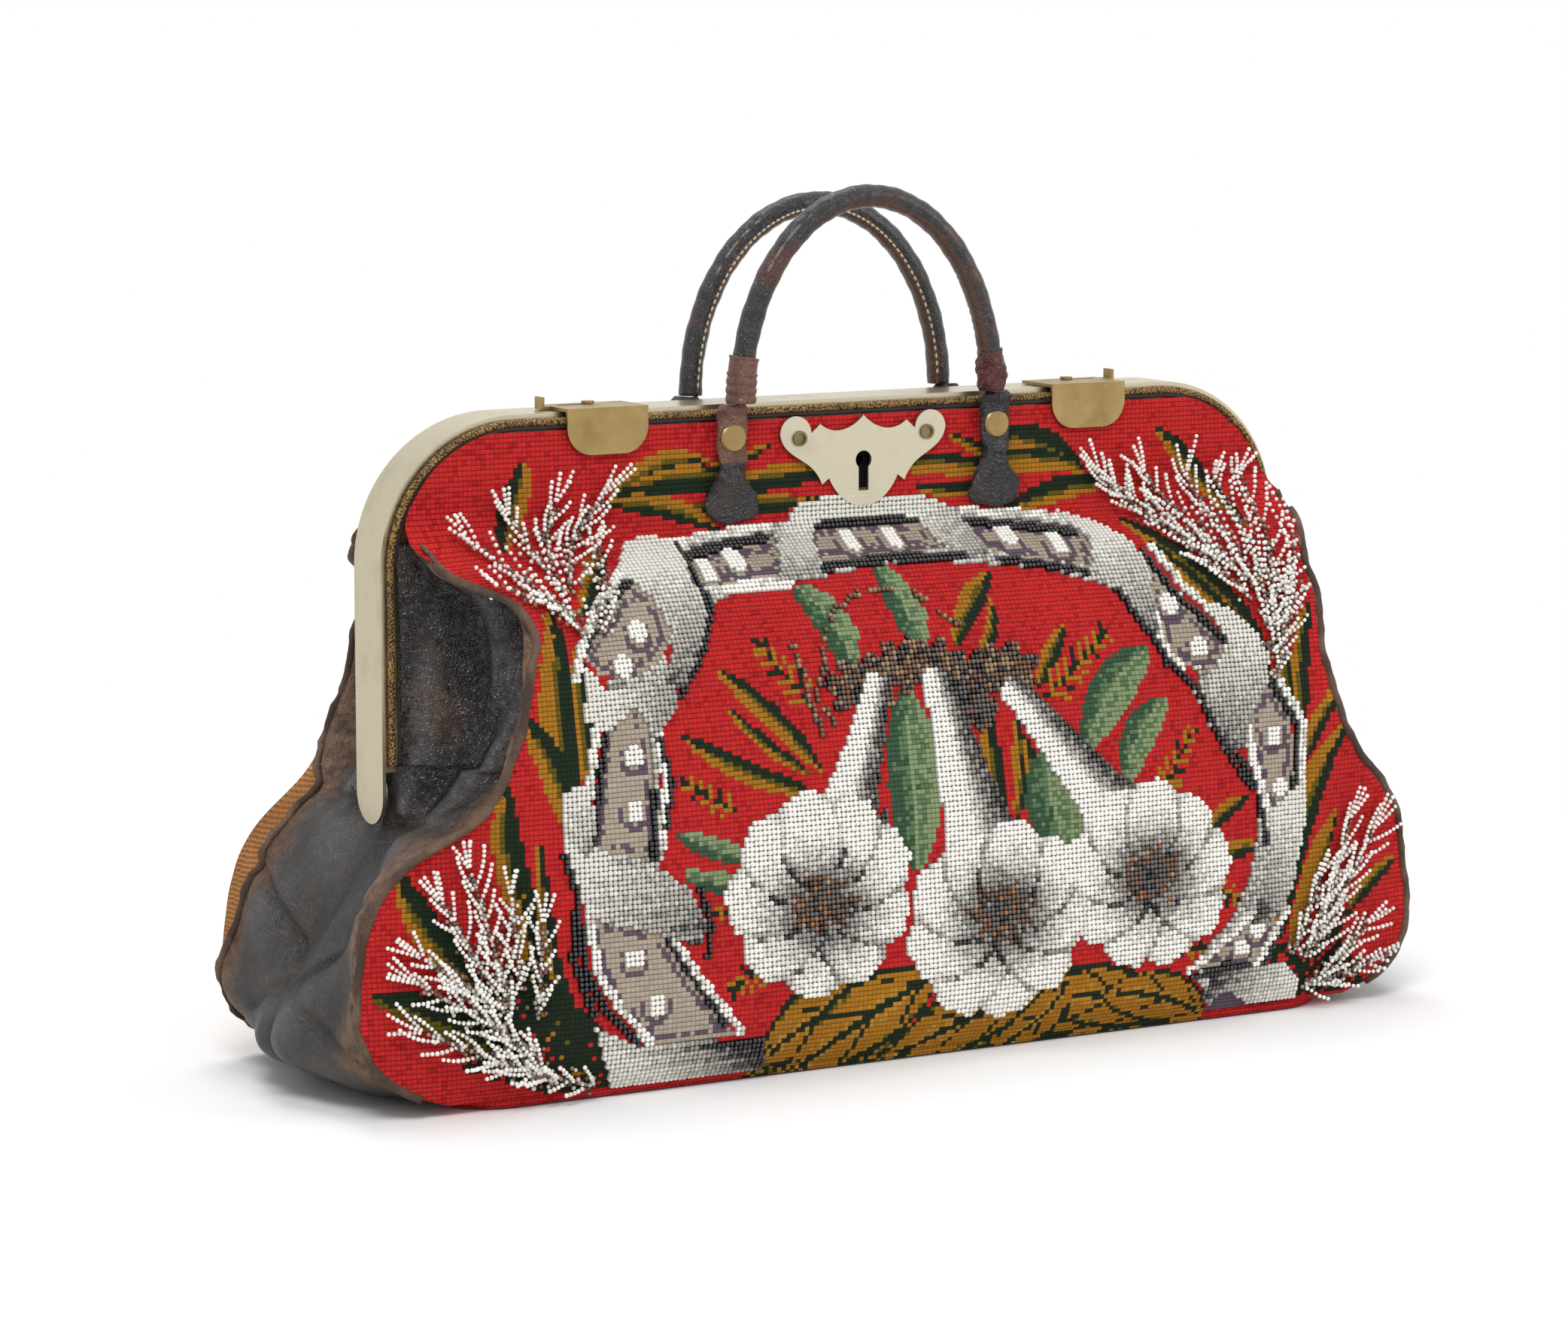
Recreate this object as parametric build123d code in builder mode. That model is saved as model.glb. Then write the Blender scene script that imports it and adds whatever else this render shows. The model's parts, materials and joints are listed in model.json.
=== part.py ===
from build123d import *
import math
import os
from typing import NamedTuple

os.makedirs("parts", exist_ok=True)

# An embroidered travel bag with a hinged metal mouth frame.
# X runs across the bag, the front faces -Y, Z is up and the base stands on z = 0. Millimetres.

# Soft body
bag_width = 508.0          # across the gussets near the floor
panel_width = 492.0        # across the seams near the floor
bag_depth = 158.0          # belly to belly
panel_thickness = 2.4
panel_ease = 0.8           # how much fuller the cloth stands where the seam meets the frame
panel_seam_gap = 1.2       # from the panel's edge to the piping
gusset_thickness = 2.0
base_thickness = 3.0
base_corner_radius = 26.0
board_thickness = 2.5
board_margin = 14.0        # from the panel and gusset walls to the board
board_corner_radius = 19.0
welt_radius = 2.1
side_tuck_left = 36.0      # how far the leather folds pull each seam in
side_tuck_right = 7.0
side_tuck_rear = 20.0
fold_reach = 26.0          # how far a gusset fold sinks behind its seam
seam_top_drop = 40.0       # frame top down to where the seam meets the frame
crease_lift = 1.0          # the gusset's crease stands this far over the feet of the frame

# Mouth frame
frame_width = 420.0
frame_height = 262.0
frame_depth = 24.0
frame_corner_radius = 58.0
strip_thickness = 1.4
flange_depth = 17.0
flange_thickness = 1.2
rear_setback = 0.5         # the rear flange sits this far inside the front jaw's depth
hinge_height = 115.0
rivet_radius = 2.5
rivet_head_radius = 5.0
rivet_head_height = 1.5
hinge_eye_radius = 9.8
braid_radius = 1.6

# Hardware
hardware_x = 4.0           # the lock and handles sit a little right of the middle
stud_spacing = 124.0
stud_drop = 13.0           # frame top down to the studs
stud_shank_radius = 2.0
stud_head_radius = 5.8
stud_head_height = 2.2
stud_chamfer = 0.7
stud_peen_radius = 3.4     # the flattened end behind the flange
stud_peen_height = 1.1
chape_thickness = 3.0
chape_width = 13.0
chape_paddle_width = 21.5
chape_paddle_length = 14.0
chape_paddle_corner = 5.0
chape_length = 44.0
chape_neck_radius = 5.4
handle_radius = 4.8
handle_rise = 80.0         # from the frame top to the middle of the grip
handle_narrowing = 3.0     # the grip's foot stands this far inside its stud
handle_lift = 0.8          # over the chapes, so that the grip can lean both ways
sleeve_radius = 6.4
sleeve_length = 14.0
catch_x = 113.0
catch_width = 36.0
catch_height = 17.0        # frame top down to the foot of the tab
catch_corner_radius = 11.0
catch_thickness = 1.3
catch_travel = 12.0
catch_lip_height = 5.0
catch_lip_width = 6.0
catch_lip_reach = 4.0
catch_pin_radius = 1.2
catch_head_radius = 2.6
catch_head_height = 0.9
catch_reach = 6.0          # how far the saddle reaches behind the frame's middle
lock_ear_spacing = 60.0
lock_pin_radius = 1.4
lock_pin_head_radius = 3.1
lock_pin_head_height = 1.0
lock_pin_rim = 1.0         # width of the ring round the hollow in each head
lock_pin_hollow = 0.7
lock_drop = 15.0           # frame top down to the ear holes
lock_thickness = 1.4
keyhole_drop = 10.0        # ear holes down to the round of the keyhole
keyhole_radius = 3.7
key_slot_width = 4.6
key_slot_length = 12.5
case_width = 56.0
case_height = 30.0
case_depth = 8.0
case_wall = 1.2
bolt_throw = 5.0
bolt_shoulder = 1.0        # of the tongue that is left when the bolt is thrown
bolt_height = 7.0
bolt_length = 20.0
tongue_height = 5.0
tongue_thickness = 2.6
staple_height = 11.0
staple_thickness = 2.2
staple_plate_width = 14.0
staple_plate_height = 20.0
staple_plate_thickness = 1.2
staple_plate_rise = 2.8    # the plate's middle stands this far over the arm's

# Clearances
sliding_gap = 0.4          # between parts that move past each other
soft_gap = 0.3             # between cloth or leather and its neighbours
staple_gap = 0.8            # round the staple in the case and round the tongue in the staple
running_gap = 0.05

# Worked out from the sizes above
half_frame = frame_width / 2
half_depth = frame_depth / 2
corner_x = half_frame - frame_corner_radius
corner_z = frame_height - frame_corner_radius
edge_inset = strip_thickness + 2 * braid_radius + 4 * soft_gap
frame_edge = half_frame - edge_inset
floor_level = base_thickness + soft_gap
crease_height = hinge_height - half_depth + crease_lift
join_height = frame_height - seam_top_drop
cloth_inner = half_depth + 2 * soft_gap
cloth_outer = cloth_inner + panel_thickness
tab_back = max(cloth_outer + panel_ease, half_depth + 2 * braid_radius + 2 * soft_gap) + soft_gap
stud_height = frame_height - stud_drop
stud_xs = [hardware_x - stud_spacing / 2, hardware_x + stud_spacing / 2]
lock_height = frame_height - lock_drop
lock_pin_xs = [hardware_x - lock_ear_spacing / 2, hardware_x + lock_ear_spacing / 2]
keyhole_height = lock_height - keyhole_drop


class Level(NamedTuple):
    """One horizontal section of the soft body."""

    rise: float      # share of the stretch that this level belongs to
    spread: float    # seam, from the frame's edge (0) to the widest seam (1)
    tuck: float      # share of the side tuck
    seam: float      # seam depth, from the frame's face (0) to the belly (1)
    belly: float     # depth of the panel's middle on the same scale
    flank: float     # gusset middle, from the frame's edge (0) to the bag's side (1)


lower_levels = [
    Level(0.000, 0.06, 0.00, 0.83, 0.85, 0.40),
    Level(0.035, 0.40, 0.00, 0.85, 0.89, 0.66),
    Level(0.090, 0.66, 0.00, 0.84, 0.94, 0.88),
    Level(0.170, 0.87, 0.00, 0.81, 0.98, 1.00),
    Level(0.290, 1.00, 0.00, 0.78, 1.00, 0.94),
    Level(0.44, 1.00, 0.00, 0.76, 0.99, 0.74),
    Level(0.64, 0.94, 0.00, 0.75, 0.96, 0.46),
    Level(0.82, 0.78, 0.00, 0.77, 0.94, 0.22),
    Level(1.00, 0.44, 0.22, 0.81, 0.92, 0.02),
]
upper_levels = [
    Level(0.10, 0.25, 0.55, 0.86, 0.88, 0.0),
    Level(0.22, 0.08, 0.60, 0.88, 0.84, 0.0),
    Level(0.37, 0.00, 0.74, 0.83, 0.77, 0.0),
    Level(0.53, 0.00, 0.90, 0.78, 0.67, 0.0),
    Level(0.65, 0.00, 1.00, 0.71, 0.53, 0.0),
    Level(0.745, 0.00, 0.92, 0.60, 0.40, 0.0),
    Level(0.81, 0.00, 0.46, 0.50, 0.28, 0.0),
    Level(0.88, 0.00, 0.16, 0.34, 0.08, 0.0),
    Level(0.94, 0.00, 0.03, 0.18, 0.01, 0.0),
]


class TopLevel(NamedTuple):
    """One section of a panel above the point where its seams meet the frame."""

    rise: float      # share of the stretch up to the panel's top edge
    edge: float      # how far the edge has moved out over the end of the piping, in piping radii
    seam: float      # how much fuller the edge is than the flat top, in eases
    belly: float     # the same for the middle


top_levels = [
    TopLevel(0.00, 0.0, 2.6, 1.0),
    TopLevel(0.30, 0.8, 1.0, 0.7),
    TopLevel(0.58, 1.0, 0.3, 0.3),
    TopLevel(0.80, 1.0, 0.0, 0.0),
    TopLevel(0.94, 1.0, 0.0, 0.0),
    TopLevel(1.00, 1.0, 0.0, 0.0),
]
panel_stations = [-1.0, -0.93, -0.76, -0.42, 0.0, 0.42, 0.76, 0.93, 1.0]


def level_height(level, stretch):
    """Height of a level in the lower or the upper stretch of the body."""
    low, high = (floor_level, crease_height) if stretch == "lower" else (crease_height, join_height)
    return low + level.rise * (high - low)


def seam_x(level, tuck):
    return frame_edge + level.spread * (panel_width / 2 - frame_edge) - level.tuck * tuck


def depth_at(share):
    return cloth_outer + share * (bag_depth / 2 - cloth_outer)


def arch_x(height):
    """Half width inside the frame at a height, where the cloth follows the arch."""
    radius = frame_corner_radius - edge_inset
    rise = min(max(height - corner_z, 0.0), radius)
    return corner_x + math.sqrt(radius**2 - rise**2)


def shifted(points, distance):
    """The same row of points, moved sideways by a distance to the left of its direction."""
    moved = []
    for i, (x, y) in enumerate(points):
        before = points[max(i - 1, 0)]
        after = points[min(i + 1, len(points) - 1)]
        dx, dy = after[0] - before[0], after[1] - before[1]
        size = math.hypot(dx, dy)
        moved.append((x - dy / size * distance, y + dx / size * distance))
    return moved


def strip_section(points, thickness):
    """A closed horizontal section: a curved strip of even thickness."""
    inner = shifted(points, thickness)
    with BuildLine() as outline:
        Spline(*points)
        Line(points[-1], inner[-1])
        Spline(*reversed(inner))
        Line(inner[0], points[0])
    make_face(outline.line)


def folded_section(points, thickness):
    """A strip like the one above, with a straight middle between two curved halves."""
    inner = shifted(points, thickness)
    half = len(points) // 2
    with BuildLine() as outline:
        for row in (points, list(reversed(inner))):
            Spline(*row[:half])
            Line(row[half - 1], row[half])
            Spline(*row[half:])
        Line(points[-1], inner[-1])
        Line(inner[0], points[0])
    make_face(outline.line)


def panel_points(left, right, seam, belly, face):
    """Outer line of a panel, which always runs so that the bag's inside is on its left."""
    points = []
    for station in panel_stations:
        side = left if station < 0 else right
        depth = belly + (seam - belly) * station**4
        points.append((station * (side - welt_radius - panel_seam_gap), face * depth))
    return points if face < 0 else list(reversed(points))


def panel_sections(face, tuck_left, tuck_right):
    """Sections of the front (face -1) or rear (face 1) panel, from the floor to the frame."""
    rows = []
    for stretch, levels in (("lower", lower_levels), ("upper", upper_levels)):
        for level in levels:
            points = panel_points(seam_x(level, tuck_left), seam_x(level, tuck_right),
                                  depth_at(level.seam), depth_at(level.belly), face)
            rows.append((level_height(level, stretch), points))
    panel_top = frame_height - edge_inset - soft_gap
    for level in top_levels:
        height = join_height + level.rise * (panel_top - join_height)
        half = arch_x(height) + level.edge * (welt_radius + panel_seam_gap - soft_gap)
        points = panel_points(half, half, cloth_outer + level.seam * panel_ease,
                              cloth_outer + level.belly * panel_ease, face)
        rows.append((height, points))
    return rows


def seam_point(level, side, face, tuck):
    return (side * seam_x(level, tuck), face * depth_at(level.seam))


def gusset_half(level, stretch, side, face, tuck):
    """Points of a gusset from its seam to the frame's edge on one face of the bag."""
    seam = seam_point(level, side, face, tuck)
    turning = panel_thickness + gusset_thickness + 2 * soft_gap
    start = (seam[0], seam[1] - face * turning)
    clear_edge = frame_edge - 3 * soft_gap
    edge = (side * (clear_edge + level.flank * (bag_width / 2 - clear_edge)), face * cloth_outer)
    fold = fold_reach * math.sin(math.pi * level.rise) if stretch == "upper" else 0.0
    points = [start]
    for share, depth in ((0.33, 0.85), (0.66, 0.72)):
        points.append((start[0] + share * (edge[0] - start[0]) - side * fold * depth,
                       start[1] + share * (edge[1] - start[1])))
    return points + [edge]


def arch_route(inset, foot, closed=False):
    """An upside-down U, an inset inside the frame: two legs, two round corners and a bar."""
    half, top, radius = half_frame - inset, frame_height - inset, frame_corner_radius - inset
    with BuildLine() as route:
        Line((-half, foot), (-half, top - radius))
        RadiusArc((-half, top - radius), (-half + radius, top), radius)
        Line((-half + radius, top), (half - radius, top))
        RadiusArc((half - radius, top), (half, top - radius), radius)
        Line((half, top - radius), (half, foot))
        if closed:
            Line((half, foot), (-half, foot))
    return route.line


def arch_band(inset, width, foot):
    """A flat arch-shaped band, an inset inside the frame's outside."""
    make_face(arch_route(inset, foot, closed=True))
    make_face(arch_route(inset + width, foot, closed=True), mode=Mode.SUBTRACT)


def stud_holes(clearance=0.0):
    with Locations(*[(x, stud_height) for x in stud_xs]):
        Circle(stud_shank_radius + clearance)


def lock_pin_holes(clearance=0.0):
    with Locations(*[(x, lock_height) for x in lock_pin_xs]):
        Circle(lock_pin_radius + clearance)


def keyhole():
    with Locations((hardware_x, keyhole_height)):
        Circle(keyhole_radius)
    with Locations((hardware_x, keyhole_height - key_slot_length / 2)):
        Rectangle(key_slot_width, key_slot_length)


# Welts: leather piping along the four side seams
welts = {
    "welt_front_left": (-1, -1, side_tuck_left),
    "welt_front_right": (1, -1, side_tuck_right),
    "welt_rear_left": (-1, 1, side_tuck_rear),
    "welt_rear_right": (1, 1, side_tuck_rear),
}


def build_piping(side, face, tuck, radius):
    with BuildPart() as piping:
        for stretch, levels in (("lower", lower_levels), ("upper", upper_levels)):
            for level in levels:
                with BuildSketch(Plane.XY.offset(level_height(level, stretch))):
                    with Locations(seam_point(level, side, face, tuck)):
                        Circle(radius)
        loft()
    return piping


grooves = {-1: [], 1: []}    # where the piping presses into the edges of each panel
for name, (side, face, tuck) in welts.items():
    welt = build_piping(side, face, tuck, welt_radius)
    welt.part.label = name
    export_step(welt.part, f"parts/{name}.step")
    grooves[face].append(build_piping(side, face, tuck, welt_radius + soft_gap).part)

# Front panel: embroidered canvas, flat behind the lock and full at the belly
with BuildPart() as front_panel:
    for height, points in panel_sections(-1, side_tuck_left, side_tuck_right):
        with BuildSketch(Plane.XY.offset(height)):
            strip_section(points, panel_thickness)
    loft()
    with BuildSketch(Plane.XZ.offset(half_depth)):
        stud_holes(soft_gap)
        lock_pin_holes(soft_gap)
        keyhole()
    extrude(amount=bag_depth, mode=Mode.SUBTRACT)
    add(grooves[-1], mode=Mode.SUBTRACT)
front_panel.part.label = "front_panel"
export_step(front_panel.part, "parts/front_panel.step")

# Rear panel: plain ribbed cloth
with BuildPart() as rear_panel:
    for height, points in panel_sections(1, side_tuck_rear, side_tuck_rear):
        with BuildSketch(Plane.XY.offset(height)):
            strip_section(points, panel_thickness)
    loft()
    with BuildSketch(Plane.XZ.offset(-half_depth)):
        stud_holes(soft_gap)
    extrude(amount=-bag_depth, mode=Mode.SUBTRACT)
    add(grooves[1], mode=Mode.SUBTRACT)
rear_panel.part.label = "rear_panel"
export_step(rear_panel.part, "parts/rear_panel.step")


def build_gusset(side, front_tuck):
    """One end of the bag: a leather strip that folds in between its seams and the frame's legs."""
    with BuildPart() as gusset:
        for stretch, levels in (("lower", lower_levels), ("upper", upper_levels)):
            for level in levels:
                front = gusset_half(level, stretch, side, -1, front_tuck)
                rear = gusset_half(level, stretch, side, 1, side_tuck_rear)
                points = front + list(reversed(rear))
                if side < 0:
                    points.reverse()
                with BuildSketch(Plane.XY.offset(level_height(level, stretch))):
                    folded_section(points, gusset_thickness)
        loft()
        with BuildSketch(Plane.XY.offset(crease_height)):
            with Locations((side * half_frame, 0)):
                Rectangle(frame_corner_radius, 2 * cloth_inner)
        extrude(amount=frame_height, mode=Mode.SUBTRACT)
    return gusset


gussets = {"gusset_left": (-1, side_tuck_left), "gusset_right": (1, side_tuck_right)}
for name, (side, front_tuck) in gussets.items():
    gusset = build_gusset(side, front_tuck)
    gusset.part.label = name
    export_step(gusset.part, f"parts/{name}.step")

# Base: a leather bottom with the outline of the walls that stand on it
base_half_width = frame_edge + lower_levels[0].spread * (panel_width / 2 - frame_edge)
base_half_depth = depth_at(lower_levels[0].seam)
with BuildPart() as base:
    with BuildSketch():
        RectangleRounded(2 * base_half_width, 2 * base_half_depth, base_corner_radius)
    extrude(amount=base_thickness)
base.part.label = "base"
export_step(base.part, "parts/base.step")

with BuildPart() as base_board:
    with BuildSketch(Plane.XY.offset(base_thickness)):
        RectangleRounded(2 * (base_half_width - board_margin), 2 * (base_half_depth - board_margin),
                         board_corner_radius)
    extrude(amount=board_thickness)
base_board.part.label = "base_board"
export_step(base_board.part, "parts/base_board.step")

# Front jaw: the wide strip that closes over the rear jaw, with a flange inside the cloth
leg_foot = hinge_height - half_depth
with BuildPart() as front_jaw:
    with BuildSketch(Plane.XZ.offset(-half_depth)):
        arch_band(0.0, strip_thickness, leg_foot)
    extrude(amount=frame_depth)
    with BuildSketch(Plane.XZ.offset(half_depth - flange_thickness)):
        arch_band(strip_thickness, flange_depth, hinge_height + hinge_eye_radius)
    extrude(amount=flange_thickness)
    with BuildSketch(Plane.YZ.offset(-half_frame)):
        with Locations((0, (frame_height + hinge_height) / 2)):
            Rectangle(frame_depth, frame_height - hinge_height)
        with Locations((0, hinge_height)):
            Circle(half_depth)
    extrude(amount=frame_width, mode=Mode.INTERSECT)
    with BuildSketch(Plane.YZ.offset(-half_frame)):
        with Locations((0, hinge_height)):
            Circle(rivet_radius)
    extrude(amount=frame_width, mode=Mode.SUBTRACT)
    with BuildSketch(Plane.XZ.offset(half_depth - flange_thickness)):
        stud_holes()
        lock_pin_holes()
    extrude(amount=flange_thickness, mode=Mode.SUBTRACT)
    with BuildSketch(Plane.XY.offset(frame_height - strip_thickness)):
        with Locations((-catch_x, 0), (catch_x, 0)):
            Circle(catch_pin_radius)
    extrude(amount=strip_thickness, mode=Mode.SUBTRACT)
front_jaw.part.label = "front_jaw"
export_step(front_jaw.part, "parts/front_jaw.step")

# Rear jaw: a narrower strip that nests under the front one, with an eye round each hinge rivet
rear_inset = strip_thickness + sliding_gap
rear_face = half_depth - rear_setback
with BuildPart() as rear_jaw:
    with BuildSketch(Plane.XZ.offset(-rear_face)):
        arch_band(rear_inset, strip_thickness, leg_foot)
    extrude(amount=rear_face + hinge_eye_radius)
    with BuildSketch(Plane.YZ.offset(-half_frame)):
        with Locations(((sliding_gap + rear_face) / 2, (frame_height + hinge_height) / 2)):
            Rectangle(rear_face - sliding_gap, frame_height - hinge_height)
        with Locations((0, hinge_height)):
            Circle(hinge_eye_radius)
    extrude(amount=frame_width, mode=Mode.INTERSECT)
    with BuildSketch(Plane.XZ.offset(-rear_face)):
        arch_band(rear_inset + strip_thickness, flange_depth, hinge_height + hinge_eye_radius)
    extrude(amount=flange_thickness)
    with BuildSketch(Plane.YZ.offset(-half_frame)):
        with Locations((0, hinge_height)):
            Circle(rivet_radius + running_gap)
    extrude(amount=frame_width, mode=Mode.SUBTRACT)
    with BuildSketch(Plane.XZ.offset(-rear_face)):
        stud_holes()
    extrude(amount=flange_thickness, mode=Mode.SUBTRACT)
rear_jaw.part.label = "rear_jaw"
export_step(rear_jaw.part, "parts/rear_jaw.step")

# Hinge rivets: set flush in the front jaw, headed inside the rear jaw
rivet_grip = rear_inset + strip_thickness + sliding_gap / 2
for name, side in {"hinge_rivet_left": -1, "hinge_rivet_right": 1}.items():
    with BuildPart() as hinge_rivet:
        with BuildSketch(Plane.YZ.offset(side * half_frame)):
            with Locations((0, hinge_height)):
                Circle(rivet_radius)
        extrude(amount=-side * rivet_grip)
        with BuildSketch(Plane.YZ.offset(side * (half_frame - rivet_grip))):
            with Locations((0, hinge_height)):
                Circle(rivet_head_radius)
        extrude(amount=-side * rivet_head_height)
    hinge_rivet.part.label = name
    export_step(hinge_rivet.part, f"parts/{name}.step")

# Braid: a round gold cord laid round the mouth, in front of each flange
braid_inset = strip_thickness + braid_radius + soft_gap
for name, face, carrier in (("front_braid", -1, half_depth), ("rear_braid", 1, rear_face)):
    level_y = face * (carrier + braid_radius + soft_gap)
    foot = hinge_height + half_depth
    route = Plane.XZ.offset(-level_y) * arch_route(braid_inset, foot)
    with BuildPart() as braid:
        with BuildSketch(Plane.XY.offset(foot)):
            with Locations((-half_frame + braid_inset, level_y)):
                Circle(braid_radius)
        sweep(path=route)
    braid.part.label = name
    export_step(braid.part, f"parts/{name}.step")

# Lock plate: a scalloped nickel escutcheon with an ear at each side.
# Its right half, measured from the middle of the line between the ear holes:
top_scallop = [(0.0, 8.3), (4.5, 4.6), (11.0, 2.5), (20.3, 5.4)]
ear_curve = [(24.5, 1.8), (31.4, 9.0), (38.9, 2.2)]
lower_scallop = [(38.9, 2.2), (36.8, -3.2), (30.7, -8.0), (24.6, -12.0), (20.9, -16.3), (19.4, -19.2)]
shield_curve = [(16.2, -16.8), (13.3, -21.6), (7.5, -26.8), (0.0, -28.6)]
drawn_ear_spacing = 60.0
plate_scale = lock_ear_spacing / drawn_ear_spacing


def plate_points(points, side):
    return [(hardware_x + side * plate_scale * x, lock_height + plate_scale * z) for x, z in points]


with BuildPart() as lock_plate:
    with BuildSketch(Plane.XZ.offset(tab_back)):
        with BuildLine():
            for side in (1, -1):
                top, ear = plate_points(top_scallop, side), plate_points(ear_curve, side)
                lower, shield = plate_points(lower_scallop, side), plate_points(shield_curve, side)
                Spline(*top)
                Line(top[-1], ear[0])
                ThreePointArc(*ear)
                Spline(*lower)
                Line(lower[-1], shield[0])
                Spline(*shield)
        make_face()
        with Locations(*[(x, lock_height) for x in lock_pin_xs]):
            Circle(lock_pin_radius, mode=Mode.SUBTRACT)
        with Locations((hardware_x, keyhole_height)):
            Circle(keyhole_radius, mode=Mode.SUBTRACT)
        with Locations((hardware_x, keyhole_height - key_slot_length / 2)):
            Rectangle(key_slot_width, key_slot_length, mode=Mode.SUBTRACT)
    extrude(amount=lock_thickness)
lock_plate.part.label = "lock_plate"
export_step(lock_plate.part, "parts/lock_plate.step")

# Lock case: a thin box behind the front flange, open at the keyhole and for the staple
case_front = half_depth - flange_thickness
staple_z = frame_height - rear_inset - strip_thickness - flange_depth
staple_x = hardware_x - bolt_length / 2
tongue_length = bolt_throw + bolt_shoulder
with BuildPart() as lock_case:
    with BuildSketch(Plane.XZ.offset(case_front - case_depth)):
        with Locations((hardware_x, keyhole_height)):
            Rectangle(case_width, case_height)
    extrude(amount=case_depth)
    with BuildSketch(Plane.XZ.offset(case_front - case_depth + case_wall)):
        with Locations((hardware_x, keyhole_height)):
            Rectangle(case_width - 2 * case_wall, case_height - 2 * case_wall)
    extrude(amount=case_depth - 2 * case_wall, mode=Mode.SUBTRACT)
    with BuildSketch(Plane.XZ.offset(case_front - case_wall)):
        keyhole()
        lock_pin_holes()
    extrude(amount=case_wall, mode=Mode.SUBTRACT)
    with BuildSketch(Plane.XZ.offset(case_front - case_depth)):
        with Locations((staple_x, staple_z)):
            Rectangle(staple_thickness + 2 * staple_gap, staple_height + 2 * staple_gap)
    extrude(amount=case_wall, mode=Mode.SUBTRACT)
lock_case.part.label = "lock_case"
export_step(lock_case.part, "parts/lock_case.step")

# Lock pins: tubular rivets through the ears, the cloth and the flange, with a hollow head
with BuildPart() as lock_pins:
    with BuildSketch(Plane.XZ.offset(case_front)):
        lock_pin_holes()
    extrude(amount=tab_back + lock_thickness - case_front)
    with BuildSketch(Plane.XZ.offset(tab_back + lock_thickness)):
        with Locations(*[(x, lock_height) for x in lock_pin_xs]):
            Circle(lock_pin_head_radius)
    extrude(amount=lock_pin_head_height)
    with BuildSketch(Plane.XZ.offset(tab_back + lock_thickness + lock_pin_head_height)):
        with Locations(*[(x, lock_height) for x in lock_pin_xs]):
            Circle(lock_pin_head_radius - lock_pin_rim)
    extrude(amount=-lock_pin_hollow, mode=Mode.SUBTRACT)
lock_pins.part.label = "lock_pins"
export_step(lock_pins.part, "parts/lock_pins.step")

# Lock bolt: a block in the case with a tongue that slides through the staple
bolt_start = staple_x + staple_thickness / 2 + staple_gap
bolt_room = case_depth - 2 * case_wall - 2 * soft_gap
case_middle = case_front - case_depth / 2
with BuildPart() as lock_bolt:
    with BuildSketch(Plane.YZ.offset(bolt_start)):
        with Locations((-case_middle, staple_z)):
            Rectangle(tongue_thickness, tongue_height)
    extrude(amount=tongue_length + bolt_length / 2)
    with BuildSketch(Plane.YZ.offset(bolt_start + tongue_length)):
        with Locations((-case_middle, staple_z)):
            Rectangle(bolt_room, bolt_height)
    extrude(amount=bolt_length)
lock_bolt.part.label = "lock_bolt"
export_step(lock_bolt.part, "parts/lock_bolt.step")

# Lock staple: a plate on the rear flange with a slotted arm that enters the case
staple_face = rear_face - flange_thickness
arm_tip = case_front - case_wall - sliding_gap
with BuildPart() as lock_staple:
    with BuildSketch(Plane.XZ.offset(-staple_face)):
        with Locations((staple_x, staple_z + staple_plate_rise)):
            Rectangle(staple_plate_width, staple_plate_height)
    extrude(amount=staple_plate_thickness)
    with BuildSketch(Plane.YZ.offset(staple_x - staple_thickness / 2)):
        with Locations(((staple_face - arm_tip) / 2, staple_z)):
            Rectangle(staple_face + arm_tip, staple_height)
        with Locations((-case_middle, staple_z)):
            Rectangle(tongue_thickness + staple_gap, tongue_height + 2 * staple_gap, mode=Mode.SUBTRACT)
    extrude(amount=staple_thickness)
lock_staple.part.label = "lock_staple"
export_step(lock_staple.part, "parts/lock_staple.step")

# Chapes: flat leather ends that carry each handle, pinned by a stud and spread to a paddle
chape_foot = frame_height - chape_length


def build_chape(x, face):
    with BuildPart() as chape:
        with BuildSketch(Plane.XZ.offset(-face * tab_back)):
            with Locations((x, (frame_height + stud_height - chape_width) / 2)):
                Rectangle(chape_width, frame_height - stud_height + chape_width)
            with BuildSketch(mode=Mode.PRIVATE) as paddle:
                with Locations((x, chape_foot + chape_paddle_length)):
                    Circle(chape_neck_radius)
                spread = chape_paddle_width / 2 - chape_paddle_corner
                with Locations((x - spread, chape_foot + chape_paddle_corner),
                               (x + spread, chape_foot + chape_paddle_corner)):
                    Circle(chape_paddle_corner)
                make_hull()
            add(paddle.sketch)
            with Locations((x, stud_height)):
                Circle(stud_shank_radius, mode=Mode.SUBTRACT)
        extrude(amount=-face * chape_thickness)
    return chape


for name, x, face in (("chape_front_left", stud_xs[0], -1), ("chape_front_right", stud_xs[1], -1),
                      ("chape_rear_left", stud_xs[0], 1), ("chape_rear_right", stud_xs[1], 1)):
    chape = build_chape(x, face)
    chape.part.label = name
    export_step(chape.part, f"parts/{name}.step")

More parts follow.
